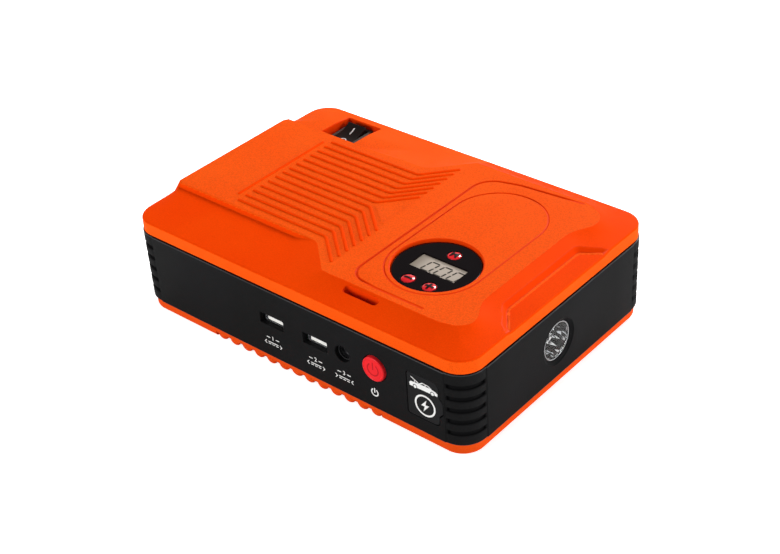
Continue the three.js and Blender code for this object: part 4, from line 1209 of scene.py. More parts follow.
def keptSide(shape, point, away):
    # what lies on the far side of a plane is cut off, and the cut is closed
    everything = shape.verts[:] + shape.edges[:] + shape.faces[:]
    bmesh.ops.bisect_plane(shape, geom=everything, plane_co=point, plane_no=away, clear_outer=True)
    bmesh.ops.holes_fill(shape, edges=[e for e in shape.edges if e.is_boundary], sides=0)
    return shape


def topFace(shape):
    return max(shape.faces, key=lambda f: (round(f.calc_center_median().z, 3), f.calc_area()))


def buildBottomCover():
    shape = bmesh.new()
    base = extrudedOutline(shape, planPath(case["bottomInset"], 6, 8.0), tray["under"], tray["top"])[0]
    bevelEdges(shape, base.edges, tray["edge"], 8)
    bevelEdges(shape, topFace(shape).edges, 0.25, 2)
    top = topFace(shape)
    bmesh.ops.inset_region(shape, faces=[top], thickness=1.3, depth=0)
    top = lifted(shape, top, tray["tongue"] - tray["top"])
    bmesh.ops.inset_region(shape, faces=[top], thickness=1.4, depth=0)
    lifted(shape, top, tray["floor"] - tray["tongue"])
    bottom = finishShape("bottomShell", shape, [lowerOrangeShade])
    tools = []
    middle = (bars["count"] - 1) / 2
    for i in range(bars["count"]):
        radius = bars["middle"] if i == middle else bars["radius"]
        bar = bmesh.new()
        bmesh.ops.create_uvsphere(bar, u_segments=24, v_segments=24, radius=radius)
        bmesh.ops.rotate(bar, matrix=Matrix.Rotation(math.pi / 2, 3, "X"), verts=bar.verts)
        reach = case["halfDepth"] - 1.3 - radius * bars["blunt"]
        for vert in bar.verts:
            if abs(vert.co.y) > 1e-4:
                vert.co.y = vert.co.y * bars["blunt"] + math.copysign(reach, vert.co.y)
        bmesh.ops.translate(bar, vec=((i - middle) * bars["pitch"], 0, radius), verts=bar.verts)
        # only the part below the floor of the tray is kept
        tools.append(finishShape(f"bar{i}", keptSide(bar, (0, 0, tray["floor"] - 0.05), (0, 0, 1)), []))
    # beyond the bars the tray is as deep as they are
    for side in (-1, 1):
        foot = bmesh.new()
        outline = planPath(case["bottomInset"] + 0.01, 6, 8.0)
        base = extrudedOutline(foot, outline, tray["foot"], tray["floor"] - 0.06)[0]
        bevelEdges(foot, base.edges, tray["edge"], 8)
        tools.append(finishShape("foot", keptSide(foot, (side * tray["footFrom"], 0, 0), (-side, 0, 0)), []))
    bores = []
    r, seat, post, neck, shank = (screws[k] for k in ("bore", "seat", "post", "neck", "shank"))
    outer = [(0, 3.9), (post, 3.9), (post, seat + 2), (neck, seat + 4), (neck, 29.5), (0, 29.5)]
    for i, (x, y) in enumerate(screws["places"]):
        tools.append(turnedPiece(f"post{i}", outer, 28, onTop, (x, y, 0)))
        under = tray["foot"] if abs(x) > tray["footFrom"] else tray["under"]
        mouth = [(0, -1), (r + 0.3 + under + 1, -1), (r + 0.3, under), (r, under + 0.3)]
        hollow = mouth + [(r, seat), (shank, seat), (shank, 30.5), (0, 30.5)]
        bores.append(turnedPiece(f"bore{i}", hollow, 28, onTop, (x, y, 0)))
    settle(combined(bottom, tools, bores, "bottomShell"), "case", "orange_shell", "bottom_cover")


buildBottomCover()
print("bottom cover made")


# prints, from flat outlines and from plain figures

ink = {"height": -0.04, "thick": 0.07}  # over the front's face


def stamped(name, body, outlines, matrix, at, height, thick, material, slot, ring=None, crown=None):
    # ink or an inlay that stands thick above height; a ring is (x, y, inner radius, outer radius)
    shape = bmesh.new()
    low, high = height, height + thick
    for path in outlines:
        extrudedOutline(shape, path, low, high)
    if ring:
        x, y, inner, outer = ring
        spare = bmesh.new()
        spunProfile(spare, [(inner, low), (outer, low), (outer, high), (inner, high), (inner, low)], 48)
        placed(spare, onTop, (x, y, 0))
        mesh = bpy.data.meshes.new("ring")
        spare.to_mesh(mesh)
        spare.free()
        shape.from_mesh(mesh)
        bpy.data.meshes.remove(mesh)
    if crown:
        crowned(shape, crown)
    return settle(finishShape(name, placed(shape, matrix, at), [material]), body, slot)


def crowned(shape, crown):
    # laid over a domed top: crown gives the height above the top's middle at a radius
    for _ in range(3):
        bmesh.ops.triangulate(shape, faces=shape.faces)
        bmesh.ops.subdivide_edges(shape, edges=[e for e in shape.edges if e.calc_length() > 0.5], cuts=1)
    bmesh.ops.triangulate(shape, faces=shape.faces)
    for vert in shape.verts:
        vert.co.z += crown(vert.co.xy.length)


def figures(name, body, text, size, matrix, at, height, thick, material, slot, weight, crown=None):
    # a plain number or sign in Blender's own font, size mm high
    curve = bpy.data.curves.new(name, "FONT")
    curve.body = text
    curve.size = size / 0.7
    curve.align_x, curve.align_y = "CENTER", "CENTER"
    curve.extrude = thick / 2
    curve.offset = weight
    curve.resolution_u = 3
    maker = bpy.data.objects.new(name, curve)
    bpy.context.collection.objects.link(maker)
    bpy.context.view_layer.update()
    flat = bpy.data.meshes.new_from_object(maker)
    bpy.data.objects.remove(maker)
    bpy.data.curves.remove(curve)
    shape = bmesh.new()
    shape.from_mesh(flat)
    bpy.data.meshes.remove(flat)
    bmesh.ops.remove_doubles(shape, verts=shape.verts, dist=1e-4)
    for face in shape.faces:
        face.material_index = 0
    bmesh.ops.translate(shape, vec=(0, 0, height + thick / 2), verts=shape.verts)
    if crown:
        crowned(shape, crown)
    return settle(finishShape(name, placed(shape, matrix, at), [material]), body, slot)


def arcPath(x, y, radius, start, end, step=9):
    turns = np.radians(np.linspace(start, end, max(2, int(abs(end - start) / step) + 1)))
    return np.column_stack([x + radius * np.cos(turns), y + radius * np.sin(turns)])


def plusPath(reach, half):
    quarter = [(half, -reach), (half, -half), (reach, -half)]
    turns = [(1, 0, 0, 1), (0, -1, 1, 0), (-1, 0, 0, -1), (0, 1, -1, 0)]
    return np.array([(a * x + b * y, c * x + d * y) for a, b, c, d in turns for x, y in quarter])


def powerSign(x, y, radius, half):
    # the broken ring and its stroke
    arc = roundBar(arcPath(x, y, radius, 128, 412), half)
    return [arc, roundBar([(x, y + 0.05 * radius), (x, y + 1.2 * radius)], half)]


# power button

powerSpec = {"radius": 5.95, "proud": 1.3, "flange": 3.0, "sign": 2.9, "print": (48.25, 15.3, 1.75, 0.29)}


def buildPowerButton():
    r, top, flange = powerSpec["radius"], powerSpec["proud"], powerSpec["flange"]
    dish = [(0, -0.12), (4.35, -0.12), (4.55, -0.2), (4.8, -0.2), (4.95, -0.02)]
    dome = [(a, top + b) for a, b in dish + [(5.2, 0), (5.55, -0.1), (5.82, -0.32), (r, -0.7)]]
    foot = [(r, 0), (r + 1.2, 0), (r + 1.2, -1), (2, -1), (2, -2.4), (0, -2.4)]
    at = (band["power"]["x"], frontFace, band["power"]["z"])
    piece = turnedPiece("powerKey", dome + [(a, b - flange) for a, b in foot], 64, onFront, at, [redButton], 50)
    settle(piece, "power", "red_plastic", "power_button")
    sign = powerSign(0, 0, powerSpec["sign"], 0.3)
    stamped("powerKeySign", "power", sign, onFront, at, top - 0.14, 0.05, redSunk, "red_plastic")
    sign, front = powerSign(*powerSpec["print"]), (0, frontFace, 0)
    stamped("powerSign", "case", sign, onFront, front, *ink.values(), whiteInk, "white_plastic")


buildPowerButton()


# marks under the sockets: a figure between two strokes, and the sign for direct current

def buildSocketMarks():
    lines = []
    for number, (x, shift) in enumerate(((-10.4, 0), (15.0, 0), (31.3, 0.2)), 1):
        upper, lower = 17.25 + shift, 14.3 + shift
        at = (x, frontFace, upper)
        name = f"socketNumber{number}"
        figures(name, "case", str(number), 2.1, onFront, at, *ink.values(), whiteInk, "white_plastic", 0.03)
        strokes = [(side * 1.9, side * 3.6, upper, 0.22) for side in (-1, 1)] + [(-2.9, 2.9, lower + 0.5, 0.2)]
        strokes += [(step - 0.6, step + 0.6, lower - 0.5, 0.2) for step in (-2.2, 0, 2.2)]
        lines.extend(roundBar([(x + start, z), (x + end, z)], width, 4) for start, end, z, width in strokes)
        for side in (-1, 1):
            # small chevrons point out of an outlet and into the inlet
            way = side if number < 3 else -side
            tip = x + side * 4.5 + way * 0.5
            wing = tip - way * 0.9
            lines.append(roundBar([(wing, lower + 0.9), (tip, lower), (wing, lower - 0.9)], 0.2, 4))
    front = (0, frontFace, 0)
    stamped("socketStrokes", "case", lines, onFront, front, *ink.values(), whiteInk, "white_plastic")


buildSocketMarks()


# rubber cover over the starter socket, with a car whose bonnet is up and a bolt in a ring

starterMark = {
    "car": (75.0, 30.6),
    "shell": [
        (-7.1, -1.9), (7.1, -1.5), (7.25, -0.3), (6.3, 0.35), (4.4, 0.75), (2.7, 1.9), (-0.6, 2.05),
        (-2.6, 0.7), (-6.6, 0.35), (-7.3, -0.5),
    ],
    "windows": [
        [(0.75, 0.8), (0.75, 1.62), (-0.3, 1.65), (-1.75, 0.75)],
        [(3.5, 0.86), (2.4, 1.5), (1.2, 1.6), (1.2, 0.82)],
    ],
    "wheels": [(-4.4, -1.55), (4.6, -1.3)],
    "bonnet": [((-2.7, 1.0), (-6.3, 2.7), 0.2), ((-4.6, 1.8), (-4.4, 0.6), 0.13)],
    "ring": (75.45, 21.2),
    "radius": 4.95,
    "line": 0.42,
    "bolt": [(0.75, 3.1), (-2.1, -0.45), (-0.25, -0.35), (-0.95, -3.2), (2.1, 0.6), (0.2, 0.45)],
}


def buildStarterCover():
    front = (0, frontFace, 0)
    piece = slabPiece("starterCover", [flapPath(0)], -1.7, -0.1, onFront, front, [softRubber], 0.32)
    settle(piece, "flap", "black_rubber", "starter_flap")
    x, z = starterMark["car"]
    at = (x, frontFace, z)
    body = slabPiece("carSign", [np.array(starterMark["shell"])], -0.12, -0.03, onFront, at, [whiteInk])
    holes = [np.array(window) for window in starterMark["windows"]]
    holes += [circlePath(wx, wz, 1.15, 24) for wx, wz in starterMark["wheels"]]
    cutters = [slabPiece(f"hole{i}", [hole], -1, 1, onFront, at) for i, hole in enumerate(holes)]
    settle(combined(body, [], cutters, "carSign"), "flap", "white_plastic")
    extras = [circlePath(x + wx, z + wz, 0.78, 20) for wx, wz in starterMark["wheels"]]
    extras += [roundBar(np.array(ends) + [x, z], half, 4) for *ends, half in starterMark["bonnet"]]
    extras.append(np.array(starterMark["bolt"]) + starterMark["ring"])
    line, radius = starterMark["line"], starterMark["radius"]
    ring = (*starterMark["ring"], radius - line, radius + line)
    stamped("starterSign", "flap", extras, onFront, front, -0.12, 0.09, whiteInk, "white_plastic", ring)


buildStarterCover()
print("front prints and starter cover made")


# sockets of the front

usbSpec = {
    "halfWidth": 6.3, "halfHeight": 2.5, "wall": 0.4, "depth": 17, "front": -2.5,
    "tongueLow": -1.8, "contacts": (-3.5, -1.0, 1.0, 3.5),
}


def buildUsb(number, x):
    w, h, wall, depth, low = (usbSpec[k] for k in ("halfWidth", "halfHeight", "wall", "depth", "tongueLow"))
    z = band["usb"]["z"]
    at = (x, frontFace, z)
    sleeve = [blockPath(0, 0, w, h, 0.7)]
    shell = slabPiece("usbShell", sleeve, -depth, usbSpec["front"], onFront, at, [nickelSteel])
    bore = [blockPath(0, 0, w - wall, h - wall, 0.4)]
    cutters = [slabPiece("usbBore", bore, wall - depth, -1, onFront, at)]
    for side in (-1, 1):  # the two sprung windows of a stamped shell
        window = [blockPath(side * 2.8, -7, 0.9, 2, 0.2)]
        cutters.append(slabPiece("usbWindow", window, h - 1, h + 1, onTop, (x, frontFace + 15.0, z)))
    shell = combined(shell, [], cutters, f"usbSleeve{number}")
    settle(shell, "case", "steel", f"usb_shell_{number}")
    # white tongue with four contacts under it
    shape = bmesh.new()
    top = extrudedOutline(shape, rectPath(-4.7, 4.7, low, low + 2.4, 0.15, 45), -15, -2.7)[1]
    bevelEdges(shape, top.edges, 0.28, 3)
    extrudedOutline(shape, rectPath(-5.4, 5.4, low, low + 3.6, 0.15, 45), -16.2, -12.5)
    tongue = finishShape(f"usbTongue{number}", placed(shape, onFront, at), [whitePlastic])
    settle(tongue, "case", "white_plastic", f"usb_tongue_{number}")
    strips = [rectPath(dx - 0.5, dx + 0.5, low - 0.08, low + 0.05, 0.03, 45) for dx in usbSpec["contacts"]]
    contacts = slabPiece(f"usbContacts{number}", strips, -11.5, -3.3, onFront, at, [turnedBrass])
    settle(contacts, "case", "brass")


for number, x in enumerate(band["usb"]["centres"], 1):
    buildUsb(number, x)

jackSpec = {
    "liner": [
        (3.8, -1.95), (3.62, -1.75), (3.32, -1.78), (3.18, -2.05), (3.05, -2.5), (3.0, -4.2), (2.55, -4.35),
        (2.45, -4.6), (2.4, -8.6), (3.04, -8.6), (3.04, -2.9), (3.3, -2.4), (3.8, -2.1), (3.8, -1.95),
    ],
    "pin": [(0, -4.3), (0.55, -4.38), (0.85, -4.6), (1.0, -5.0), (1.0, -15.5), (0, -15.5)],
}


def buildJack():
    # stepped liner of the charging jack and the rounded tip of its pin
    at = (band["jack"]["x"], frontFace, band["jack"]["z"])
    liner = turnedPiece("jackLiner", jackSpec["liner"], 48, onFront, at, [plainBlack], 45)
    settle(liner, "case", "black_shell")
    pin = turnedPiece("jackPin", jackSpec["pin"], 24, onFront, at, [nickelSteel], 45)
    settle(pin, "case", "steel", "charge_jack_pin")


buildJack()
print("front sockets made")


# gauge: black face, display and three keys

gaugeKeys = {"mode": (0.8, 11.2), "minus": (-4.6, -13.4), "plus": (6.6, -13.2)}
keyShape = {
    "radius": 3.1,
    "dome": (0, 0.6, 1.2, 1.7, 2.2, 2.6, 2.85),
    "foot": [(3.1, -0.4), (3.45, -0.4), (3.45, -1.4), (1.2, -1.4), (1.2, -2.8), (0, -2.8)],
    "hole": 3.35,
    "signHeight": 0.54,
    "signThick": 0.12,
}
pane = {"x": 47.4, "y": -21.0, "width": 24.4, "height": 10.5, "below": 0.5, "step": 0.3, "under": 2.8}
digits = {
    "places": (-4.3, 2.5, 9.3), "low": -4.55, "height": 6.9, "width": 4.3, "line": 0.42, "gap": 0.16,
    "lean": 0.2, "marks": (-4.6, -1.2, 6.4, 9.3), "edge": 0.35,
}
faceTop, faceLow = gauge["top"], gauge["top"] - gauge["thick"]


def crown(radius):
    return -radius * radius / 15


def widened(shape, top, height, scale, at):
    # the outline carried on by height and spread about its middle, then on straight
    top = lifted(shape, top, height)
    bmesh.ops.scale(shape, vec=scale, space=Matrix.Translation((-at[0], -at[1], 0)), verts=top.verts)
    lifted(shape, top, 1)


def buildFascia():
    r = gauge["radius"]
    at = (gauge["x"], gauge["y"], 0)
    edge = [(0, 0.6), (0.04, 0.34), (0.16, 0.16), (0.33, 0.04), (0.55, 0)]
    profile = [(0, faceLow), (r, faceLow)] + [(r - a, faceTop - b) for a, b in edge]
    fascia = turnedPiece("gaugeFace", profile + [(r - 1.0, faceTop), (0, faceTop)], 96, onTop, at, [pianoBlack])
    tool = bmesh.new()
    outline = blockPath(pane["x"], pane["y"], pane["width"] / 2, pane["height"] / 2, 0.35)
    high = extrudedOutline(tool, outline, faceLow - 1, faceTop - 0.12)[1]
    widened(tool, high, 0.12, (1.01, 1.022, 1), (pane["x"], pane["y"]))
    cutters = [finishShape("paneHole", tool, [])]
    hole, top = keyShape["hole"], faceTop
    for name, (dx, dy) in gaugeKeys.items():
        profile = [(0, faceLow - 1), (hole, faceLow - 1), (hole, top - 0.15), (hole + 0.15, top)]
        profile += [(hole + 0.15, top + 1), (0, top + 1)]
        at = (gauge["x"] + dx, gauge["y"] + dy, 0)
        cutters.append(turnedPiece(name + "Hole", profile, 40, onTop, at))
    settle(combined(fascia, [], cutters, "gaugeFace", 12), "case", "gloss_black", "gauge_fascia")


buildFascia()


def segmentShape(start, end):
    # one bar of a figure, pointed at both ends
    a, b = np.array(start, float), np.array(end, float)
    run = (b - a) / np.linalg.norm(b - a)
    a, b = a + run * digits["gap"], b - run * digits["gap"]
    side = np.array([run[1], -run[0]]) * digits["line"]
    inset = run * digits["line"]
    return np.array([a, a + inset + side, b - inset + side, b, b - inset - side, a + inset - side])


def figureShapes(x, low, bars):
    w, h = digits["width"] / 2, digits["height"]
    ends = {
        "a": ((-w, h), (w, h)), "b": ((w, h), (w, h / 2)), "c": ((w, h / 2), (w, 0)), "d": ((w, 0), (-w, 0)),
        "e": ((-w, 0), (-w, h / 2)), "f": ((-w, h / 2), (-w, h)),
    }
    shapes = []
    for bar in bars:
        shape = segmentShape(*ends[bar])
        shapes.append(np.column_stack([x + shape[:, 0] + digits["lean"] * shape[:, 1], low + shape[:, 1]]))
    return shapes


def buildDisplay():
    top, step = faceTop - pane["below"], faceLow - pane["step"]
    x, y, w, h = pane["x"], pane["y"], pane["width"] / 2, pane["height"] / 2
    outline = [blockPath(x, y, w + 1.3, h + 1.3, 0.4)]
    ground = (0, 0, 0)
    carrier = slabPiece(
        "displayCarrier", outline, faceLow - pane["under"], step, onTop, ground, [displayGlass], 0.15, 2
    )
    outline = [blockPath(x, y, w - 0.2, h - 0.2, 0.3)]
    raised = slabPiece("displayWindow", outline, step - 0.6, top, onTop, ground, [], 0.12, 2)
    settle(combined(carrier, [raised], [], "displayPane", 12), "case", "display_glass", "gauge_display")
    lit, low = [], y + digits["low"]
    for place in digits["places"]:
        lit.extend(figureShapes(x + place, low, "abcdef"))
    point = x + digits["places"][0] + digits["width"] / 2 + 0.95
    lit.append(circlePath(point, low + 0.2, 0.36, 12))
    # small unlit marks along the top, left as plain strokes
    z = y + h - 1.55
    faint = [roundBar([(x + dx, z), (x + dx + 1.9, z)], 0.19, 4) for dx in digits["marks"]]
    limit = x + w - digits["edge"]
    lit = [path for path in (clipped(path, limit) for path in lit) if np.ptp(path[:, 0]) > 0.1]
    faint = [clipped(path, limit) for path in faint]
    stamped("displayFigures", "case", lit, onTop, ground, top - 0.02, 0.04, digitInk, "gloss_black")
    stamped("displayFaint", "case", faint, onTop, ground, top - 0.02, 0.035, faintInk, "display_glass")


def clipped(path, limit):
    # nothing of the figures reaches past the window's edge
    return np.column_stack([np.minimum(path[:, 0], limit), path[:, 1]])


buildDisplay()


def buildGaugeKey(name, place):
    dome = [(a, crown(a) + 0.5) for a in keyShape["dome"]] + [(3.02, -0.16), (keyShape["radius"], -0.4)]
    profile = [(a, faceTop + b) for a, b in dome] + [(a, faceLow + b) for a, b in keyShape["foot"]]
    at = (gauge["x"] + place[0], gauge["y"] + place[1], 0)
    key = turnedPiece(name + "Key", profile, 48, onTop, at, [redKey], 50)
    settle(key, name, "red_plastic", name + "_button")
    height, thick = faceTop + keyShape["signHeight"], keyShape["signThick"]
    if name == "mode":
        figures("modeSign", name, "M", 3.8, onTop, at, height, thick, blackInk, "gloss_black", 0.02, crown)
        return
    sign = plusPath(2.1, 0.52) if name == "plus" else rectPath(-2.1, 2.1, -0.52, 0.52, 0.08, 45)
    stamped(name + "Sign", name, [sign], onTop, at, height, thick, blackInk, "gloss_black", None, crown)


for name, place in gaugeKeys.items():
    buildGaugeKey(name, place)
print("gauge made")


# rocker switch

rocker = {
    "at": (-66.25, 49.85, 45.6), "tilt": 12, "end": 7.9, "half": 5.5, "hollow": 1.6, "rise": 1.6,
    "frame": (7.5, 10.5), "body": (6.4, 9.5), "mouth": (5.8, 8.75), "tabs": (-6, 6), "foot": (5.6, 5.2),
}


def paddleCurve(y):
    return rocker["hollow"] + rocker["rise"] * (y / rocker["end"]) ** 2


def buildRocker():
    x, y, pivot = rocker["at"]
    low, ground = pivot + 0.3, (0, 0, 0)
    outline = [blockPath(x, y, *rocker["frame"], 0.8)]
    bezel = slabPiece("switchBezel", outline, low, low + 1.5, onTop, ground, [switchGrey], 0.4)
    shape = bmesh.new()
    extrudedOutline(shape, blockPath(x, y, *rocker["body"], 0.4), low - 17, low + 0.5)
    for dy in rocker["tabs"]:
        extrudedOutline(shape, blockPath(x, y + dy, 2.4, 0.4, 0.1, 45), low - 24, low - 16)
    body = finishShape("switchBody", shape, [])
    shape = bmesh.new()
    high = extrudedOutline(shape, blockPath(x, y, *rocker["mouth"], 0.3), low - 9.5, low + 1.2)[1]
    widened(shape, high, 0.3, (1.05, 1.034, 1), (x, y))
    mouth = finishShape("switchMouth", shape, [])
    settle(combined(bezel, [body], [mouth], "switchHousing"), "case", "black_shell", "rocker_housing")
    # the paddle: a dished top between straight sides
    end, half = rocker["end"], rocker["half"]
    foot, depth = rocker["foot"]
    outline = [(t, paddleCurve(t)) for t in np.linspace(end, -end, 17)]
    outline += [(-end, -1.2), (-foot, -depth), (foot, -depth), (end, -1.2)]
    shape = bmesh.new()
    extrudedOutline(shape, outline, -half, half)
    placed(shape, onRight)
    sharp = [e for e in shape.edges if len(e.link_faces) == 2 and e.calc_face_angle() > math.radians(35)]
    bevelEdges(shape, sharp, 0.28, 3)
    lean = Matrix.Rotation(math.radians(rocker["tilt"]), 4, "X")
    paddle = finishShape("switchPaddle", placed(shape, lean, rocker["at"]), [switchBlack], 30)
    settle(paddle, "rocker", "black_shell", "rocker_paddle")
    # the two signs lie in the dished top
    stroke, ring = bmesh.new(), bmesh.new()
    extrudedOutline(stroke, roundBar(np.linspace((0, 1.6), (0, 5.4), 6), 0.36, 4), -0.06, 0.05)
    spunProfile(ring, [(1.25, -0.06), (1.85, -0.06), (1.85, 0.05), (1.25, 0.05), (1.25, -0.06)], 40)
    placed(ring, onTop, (0, -3.9, 0))
    for name, shape in (("switchOn", stroke), ("switchOff", ring)):
        for vert in shape.verts:
            vert.co.z += paddleCurve(vert.co.y)
        settle(finishShape(name, placed(shape, lean, rocker["at"]), [whiteInk]), "rocker", "white_plastic")


buildRocker()
print("rocker switch made")


# lamp

lampSpec = {
    "radius": 8.57,
    "front": -2.62,
    "depth": 10.0,
    "throat": 2.6,
    "facets": 14,
    "rings": (0, 0.06, 0.16, 0.32, 0.55, 0.8, 1),
    "dome": [(0, -0.72), (2.6, -0.76), (5.0, -0.88), (6.9, -1.05), (7.8, -1.2), (8.3, -1.34)],
    "rim": [
        (8.6, -2.6), (9.1, -2.6), (9.1, -1.35), (9.0, -1.2), (8.78, -1.16), (8.62, -1.3), (8.6, -1.5),
        (8.6, -2.6),
    ],
    "chip": [
        (0, -14.8), (2.1, -14.8), (2.1, -13.3), (1.95, -13.2), (1.6, -13.1), (1.55, -12.7), (1.3, -12.2),
        (0.85, -11.85), (0, -11.7),
    ],
}
lampAt = (case["halfLength"], band["lamp"]["y"], band["lamp"]["z"])


def buildReflector():
    # pressed reflector: rings of facets, each ring turned half a facet from the last
    r, front, depth, throat, facets = (lampSpec[k] for k in ("radius", "front", "depth", "throat", "facets"))
    inside = [(throat + (r - 3.0) * math.sqrt(t), front - depth + depth * t) for t in lampSpec["rings"]]
    outside = [(r, front), (r, front - 0.6)] + [(a + 0.35, b - 0.4) for a, b in inside[-2:0:-1]]
    shape = bmesh.new()
    spunProfile(shape, inside + outside + [(throat + 0.5, front - depth), inside[0]], facets * 2)
    step = math.pi / facets
    for k, (radius, height) in enumerate(inside[:-1]):
        ring = [v for v in shape.verts if abs(v.co.z - height) < 1e-3 and abs(v.co.xy.length - radius) < 1e-3]
        if k % 2:
            bmesh.ops.rotate(shape, matrix=Matrix.Rotation(step / 2, 3, "Z"), verts=ring)
        # every second facet edge is drawn in a little, so that neighbours flash apart
        for vert in ring:
            turn = math.atan2(vert.co.y, vert.co.x) / step
            if round(turn) % 2 == (k // 2) % 2 and 0 < k:
                vert.co.xy *= 0.965
    bmesh.ops.triangulate(shape, faces=shape.faces, quad_method="SHORT_EDGE")
    for face in shape.faces:
        # the facets round the chip mostly keep the bright chrome; most shallow ones get the dark copy as
        # painted shade
        middle = face.calc_center_median()
        sector = int((math.atan2(middle.y, middle.x) / math.pi + 1) * facets)
        deep = middle.xy.length < 6.6
        mixed = (sector * 7 + int(-middle.z * 3)) % 5
        face.material_index = int(mixed == 0) if deep else int(mixed > 1)
    chromes = [mirrorChrome, shadedChrome]
    reflector = finishShape("lampReflector", placed(shape, onRight, lampAt), chromes, 4)
    settle(reflector, "case", "chrome", "lamp_reflector")


def buildLamp():
    # clear cover, slightly domed, its rim, and the light-emitting chip under its small dome
    r = lampSpec["radius"]
    dome = lampSpec["dome"] + [(r - 0.02, -1.6), (r, -1.9), (r, -2.3), (0, -2.3)]
    cover = turnedPiece("lampCover", dome, 72, onRight, lampAt, [clearLens], 40)
    settle(cover, "case", "clear_lens", "lamp_lens")
    settle(turnedPiece("lampRim", lampSpec["rim"], 72, onRight, lampAt, [rimSilver], 40), "case", "chrome")
    chip = turnedPiece("lampChip", lampSpec["chip"], 32, onRight, lampAt, [ledYellow], 40)
    settle(chip, "case", "white_plastic", "lamp_led")


buildReflector()
buildLamp()
print("lamp made")


# brass outlet of the compressor, screws under the case

outletSpec = {
    "radius": 6.3,
    "bore": 4.0,
    "back": [(0, 89.3), (5.2, 89.3), (5.2, 92.2), (8.2, 92.2), (8.2, 94.3), (6.3, 94.3)],
    "lip": [(6.3, -0.45), (6.2, -0.25), (6.0, -0.15), (5.1, -0.15), (4.9, -0.3), (4.15, -0.35), (4.0, -0.6)],
    "turns": 13,
    "thread": 0.22,
    "end": 90.6,
}


def buildOutlet():
    half, bore = case["halfLength"], outletSpec["bore"]
    back = [(a, b - half) for a, b in outletSpec["back"]]
    # the depth of the bore is cut as a fine thread
    turns = [(bore + outletSpec["thread"] * (k % 2), -0.8 - 0.3 * k) for k in range(outletSpec["turns"])]
    inner = [(bore, -5.2), (bore, outletSpec["end"] - half), (0, outletSpec["end"] - half)]
    at = (-half, band["outlet"]["y"], band["outlet"]["z"])
    profile = back + outletSpec["lip"] + turns + inner
    fitting = turnedPiece("outletFitting", profile, 48, onLeft, at, [turnedBrass], 30)
    settle(fitting, "case", "brass", "air_outlet")


def buildScrews():
    for number, (x, y) in enumerate(screws["places"], 1):
        at = (x, y, 0)
        screw = turnedPiece("screw", screws["head"] + screws["stem"], 24, onTop, at, [nickelSteel])
        cross = bmesh.new()
        high = extrudedOutline(cross, plusPath(1.75, 0.32), 5.0, 6.5)[1]
        bmesh.ops.scale(cross, vec=(0.6, 0.6, 1), verts=high.verts)
        tool = finishShape("recess", placed(cross, onTop, at), [])
        settle(combined(screw, [], [tool], f"caseScrew{number}"), "case", "steel", f"case_screw_{number}")


buildOutlet()
buildScrews()
print("outlet and screws made")


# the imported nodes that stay, each in its own finish

for entry in frame["record"]["subparts"]:
    node = frame["nodes"][entry["node"]]
    chosen = slotMaterials.get(entry["material_slot"])
    if chosen is None:
        continue
    for slot in node.material_slots:
        slot.material = chosen
    if not node.material_slots:
        node.data.materials.append(chosen)

# camera, floor and light

view = {
    "centre": (0.37636, -0.41375, 0.40112),
    "azimuth": 42.21,
    "elevation": 34.48,
    "roll": -3.87,
    "lens": 67.84,
}


def addCamera():
    azimuth, elevation, roll = (math.radians(view[k]) for k in ("azimuth", "elevation", "roll"))
    flat = math.cos(elevation)
    back = Vector((math.sin(azimuth) * flat, -math.cos(azimuth) * flat, math.sin(elevation)))
    right = Vector((math.cos(azimuth), math.sin(azimuth), 0))
    up = back.cross(right)
    right, up = right * math.cos(roll) + up * math.sin(roll), up * math.cos(roll) - right * math.sin(roll)
    lens = bpy.data.cameras.new("camera")
    lens.lens = view["lens"]
    lens.sensor_width = 36
    lens.clip_start = 0.02
    camera = bpy.data.objects.new("camera", lens)
    turned = Matrix((right, up, back)).transposed().to_4x4()
    turned.translation = Vector(view["centre"])
    camera.matrix_world = turned
    bpy.context.collection.objects.link(camera)
    bpy.context.scene.camera = camera


addCamera()

studio = {
    "horizon": 1.0,
    "overhead": 0.14,
    "paper": 0.75,
    "lamps": {
        "key": {"place": (-0.1, 1.0, 0.75), "size": 0.5, "power": 16.5},
        "side": {"place": (1.1, 0.3, 0.14), "size": 0.5, "power": 10.5},
        "front": {"place": (-0.4, -1.05, 0.38), "size": 0.5, "power": 8.5},
    },
    "aim": (0, 0, 0.02),
}


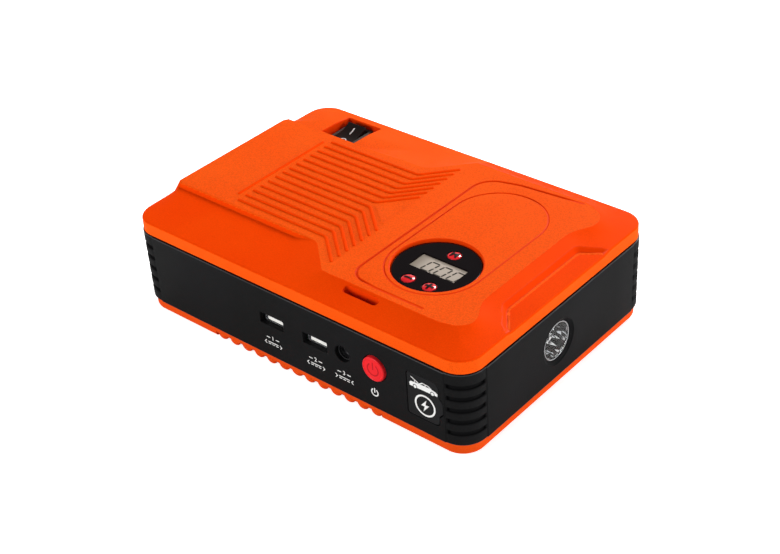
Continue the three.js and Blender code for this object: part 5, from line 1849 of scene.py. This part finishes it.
def addLight(name, spec):
    data = bpy.data.lights.new(name, "AREA")
    data.size = spec["size"]
    data.energy = spec["power"]
    lamp = bpy.data.objects.new(name, data)
    lamp.location = spec["place"]
    way = Vector(studio["aim"]) - Vector(spec["place"])
    lamp.rotation_euler = way.to_track_quat("-Z", "Y").to_euler()
    bpy.context.collection.objects.link(lamp)


for name, spec in studio["lamps"].items():
    addLight(name, spec)


def addWorld():
    # a white room, dimmer overhead; the camera and clear parts see it white all round
    world = bpy.data.worlds.new("studio")
    bpy.context.scene.world = world
    world.use_nodes = True
    shade = world.node_tree.nodes["Background"]
    rays = addNode(world, "LightPath").outputs
    seen = addNode(
        world, "Math", {"operation": "MAXIMUM"}, {0: rays["Is Camera Ray"], 1: rays["Is Transmission Ray"]}
    )
    way = addNode(world, "TexCoord")
    axes = addNode(world, "SeparateXYZ", {}, {"Vector": way.outputs["Generated"]})
    settings = {
        "interpolation_type": "SMOOTHSTEP",
        "From Min": 0.12,
        "From Max": 0.5,
        "To Min": studio["horizon"],
        "To Max": studio["overhead"],
    }
    height = addNode(world, "MapRange", settings, {"Value": axes.outputs["Z"]})
    sources = {0: height.outputs["Result"], 1: seen.outputs[0]}
    strength = addNode(world, "Math", {"operation": "MAXIMUM"}, sources)
    link(world, strength.outputs[0], shade.inputs["Strength"])
    shade.inputs["Color"].default_value = (1, 1, 1, 1)


addWorld()


def addFloor():
    shape = bmesh.new()
    bmesh.ops.create_grid(shape, x_segments=1, y_segments=1, size=6)
    bmesh.ops.translate(shape, vec=(0, 0, -0.0003), verts=shape.verts)
    mesh = bpy.data.meshes.new("floor")
    shape.to_mesh(mesh)
    shape.free()
    # matt white paper sweep: pure white to the eye, and it still takes the pack's shadow
    material, shader = newMaterial("white paper, matt", Base_Color=(0.9, 0.9, 0.9, 1), Roughness=0.9)
    shader.inputs["Emission Color"].default_value = (1, 1, 1, 1)
    rays = addNode(material, "LightPath")
    settings = {"To Min": 0.0, "To Max": studio["paper"]}
    glow = addNode(material, "MapRange", settings, {"Value": rays.outputs["Is Camera Ray"]})
    link(material, glow.outputs["Result"], shader.inputs["Emission Strength"])
    newPiece("floor", mesh, [material])


addFloor()
bpy.context.scene.view_settings.view_transform = "Standard"
